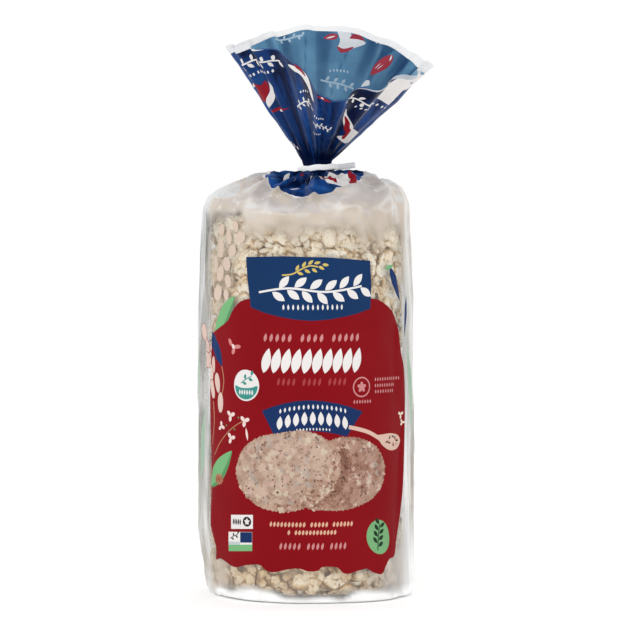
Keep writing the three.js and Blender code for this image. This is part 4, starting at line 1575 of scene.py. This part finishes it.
def cake(index, rng):
    """One puffed cake: a core with grains packed round its rim."""
    settle = 1.3 if index == 0 else 0.0  # the lowest cake beds into the folded foot
    z0 = STACK_FOOT + index * CAKE_PITCH + 0.35 - settle
    thick = CAKE_PITCH - 0.7 + settle
    radius = CAKE_RADIUS - 1.5
    shift = rng.uniform(-0.5, 0.5, 2)
    lean = rng.uniform(-0.008, 0.008, 2)
    wobble = rng.uniform(0, 2 * PI, 3)

    def radius_at(a):
        return 0.35 * np.sin(3 * a + wobble[0]) + 0.25 * np.sin(7 * a + wobble[1])

    # core
    steps, prof = 96, [(0.0, 0.0)]
    for s in np.linspace(0, 1, 11):
        r, z, _, _ = rim_profile(s, radius - 1.0, thick - 1.2, 3.2)
        prof.append((r, z + 0.6))
    prof.append((0.0, thick - 0.6))
    a = np.arange(steps) / steps * 2 * PI
    verts = []
    for r, z in prof[1:-1]:
        k = r + radius_at(a) * (r / radius)
        verts.append(np.stack([k * np.cos(a), k * np.sin(a), np.full(steps, z)], -1))
    rows = len(verts)
    verts = np.concatenate(verts + [[(0, 0, 0.6)], [(0, 0, thick - 0.6)]])
    faces = []
    for i in range(rows - 1):
        for j in range(steps):
            p, q = i * steps + j, i * steps + (j + 1) % steps
            faces += [(p, q, q + steps), (p, q + steps, p + steps)]
    n = rows * steps
    for j in range(steps):
        faces += [(n, (j + 1) % steps, j), (n + 1, (rows - 1) * steps + j, (rows - 1) * steps + (j + 1) % steps)]
    core_v, core_f = verts, np.array(faces)

    # grains
    centres, outward, sizes = [], [], []
    rows = [0.02, 0.17, 0.325, 0.5, 0.675, 0.83, 0.98]
    for k, s in enumerate(rows):
        r, z, nr, nz = rim_profile(s, radius, thick, 4.3)
        count = int(2 * PI * r / 4.6)
        turn = rng.uniform(0, 2 * PI)
        for j in range(count):
            a1 = turn + (j + rng.uniform(-0.36, 0.36)) / count * 2 * PI
            dz = rng.uniform(-1.1, 1.1)
            rr = r + float(radius_at(np.array(a1))) + rng.uniform(-1.5, 0.5) - 0.2
            sizes.append((0.64, 0.86, 1.0, 1.0, 1.0, 0.86, 0.64)[k])
            centres.append((rr * math.cos(a1), rr * math.sin(a1), z + dz * (1 - abs(nz))))
            outward.append((nr * math.cos(a1), nr * math.sin(a1), nz + rng.uniform(-0.15, 0.15)))
    if index == CAKES - 1:
        r = 38.5
        while r > 2:
            count = max(4, int(2 * PI * r / 4.4))
            turn = rng.uniform(0, 2 * PI)
            for j in range(count):
                a1 = turn + (j + rng.uniform(-0.25, 0.25)) / count * 2 * PI
                sizes.append(1.0)
                centres.append((r * math.cos(a1), r * math.sin(a1), thick - 0.6 + rng.uniform(-0.4, 0.4)))
                outward.append((rng.uniform(-0.2, 0.2), rng.uniform(-0.2, 0.2), 1))
            r -= 4.0
    centres, outward = np.array(centres), np.array(outward)
    outward /= np.linalg.norm(outward, axis=1, keepdims=True)
    small = rng.random(len(centres)) < 0.42
    size = np.where(small, rng.uniform(3.6, 5.4, len(centres)), rng.uniform(6.4, 8.0, len(centres)))
    g_v, g_f, tone, crown = grains(centres, outward, rng, size * np.array(sizes))
    # the highest cakes catch the most light, the lowest the least
    high = float(smooth(np.array(index / (CAKES - 1)), 0.6, 0.95))
    low = 1.0 if index == 0 else 0.0
    tone = np.clip(tone + 0.26 * high - 0.22 * low, 0, 1)
    crown = np.clip(crown + 0.12 * high - 0.03 * low, 0, 1)

    verts = np.concatenate([core_v, g_v])
    faces = np.concatenate([core_f, g_f + len(core_v)])
    which = np.concatenate([np.zeros(len(core_f), int), np.ones(len(g_f), int)])
    tones = np.concatenate([np.full(len(core_v), 0.2), tone])
    crowns = np.concatenate([np.zeros(len(core_v)), crown])
    # lean a little, keep inside the film, and set in the stack
    verts[:, 2] += lean[0] * verts[:, 0] + lean[1] * verts[:, 1]
    verts[:, :2] += shift
    verts[:, 2] = np.clip(verts[:, 2] + z0, STACK_FOOT - 0.5 - settle, STACK_TOP + 1.5)
    verts = inside_film(verts)
    ob = new_mesh(f"rice_cake_{index + 1:02d}", verts, faces, [CORE, RICE], which, flat=True)
    point_values(ob, "tone", tones)
    point_values(ob, "crown", crowns)
    return ob


cakes = [cake(i, np.random.default_rng(100 + i)) for i in range(CAKES)]


def dark_grains():
    rng = np.random.default_rng(77)
    centres, outward = [], []
    for i in range(CAKES):
        for _ in range(5):
            a = rng.uniform(0, 2 * PI)
            z = STACK_FOOT + (i + rng.uniform(0.15, 0.85)) * CAKE_PITCH
            centres.append((47.2 * math.cos(a), 47.2 * math.sin(a), z))
            outward.append((math.cos(a), math.sin(a), 0))
    centres, outward = np.array(centres), np.array(outward)
    p, f, _, _ = grains(centres, outward, rng, 4.2, 0.28, 0.10, 0.08, 0.03, 0.42)
    return new_mesh("dark_grains", inside_film(p), f, [SEED])


seeds = dark_grains()

# ------------------------------------------------------------------ stage, lights, camera
floor_mat = Nodes("floor")
floor_mat.finish(
    floor_mat.principled(
        Base_Color=floor_mat.ramp(floor_mat.noise(0.7, 2), [(0.3, (0.92, 0.92, 0.92, 1)), (0.7, (0.95, 0.95, 0.95, 1))]),
        Roughness=0.9,
        Specular_IOR_Level=0.0,
        Emission_Color=(1, 1, 1, 1),
        Emission_Strength=0.07,
    ).outputs[0]
)
bpy.ops.mesh.primitive_plane_add(size=14, location=(0, 0, -0.0003))
floor = bpy.context.object
floor.name = "floor"
floor.data.materials.append(floor_mat.mat)

scene = bpy.context.scene
world = bpy.data.worlds.new("studio")
world.use_nodes = True
world.node_tree.nodes["Background"].inputs[0].default_value = (1, 1, 1, 1)
world.node_tree.nodes["Background"].inputs[1].default_value = 1.0
scene.world = world
scene.view_settings.view_transform = "Standard"
scene.view_settings.look = "None"


def area(name, place, aim, size, power, colour=(1, 1, 1)):
    light = bpy.data.lights.new(name, "AREA")
    light.shape, light.size, light.size_y = "RECTANGLE", size[0], size[1]
    light.energy, light.color = power, colour
    ob = bpy.data.objects.new(name, light)
    ob.location = place
    ob.rotation_euler = (Vector(aim) - Vector(place)).to_track_quat("-Z", "Y").to_euler()
    scene.collection.objects.link(ob)
    return ob


area("key", (-1.1, -1.5, 1.25), (0, 0, 0.14), (1.0, 1.0), 9)
area("fill", (1.5, -1.2, 0.7), (0, 0, 0.14), (0.9, 1.2), 3)
area("top", (0.1, 0.5, 1.8), (0, 0, 0.1), (1.2, 1.2), 4)

cam_data = bpy.data.cameras.new("camera")
cam_data.sensor_width = 36
cam_data.lens = 36 * 1.2 / 0.3135
cam_data.clip_start, cam_data.clip_end = 0.05, 50
camera = bpy.data.objects.new("camera", cam_data)
camera.location = (0.00375, -1.2, 0.13925)
camera.rotation_euler = (PI / 2, 0, 0)
scene.collection.objects.link(camera)
scene.camera = camera

# ------------------------------------------------------------------ what each piece stands for
for piece in [body_film, base_film, tail_out, tail_in, *cakes, seeds]:
    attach(piece, "root")
    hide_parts("bag")
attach(tie_piece, "root")
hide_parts("tie")
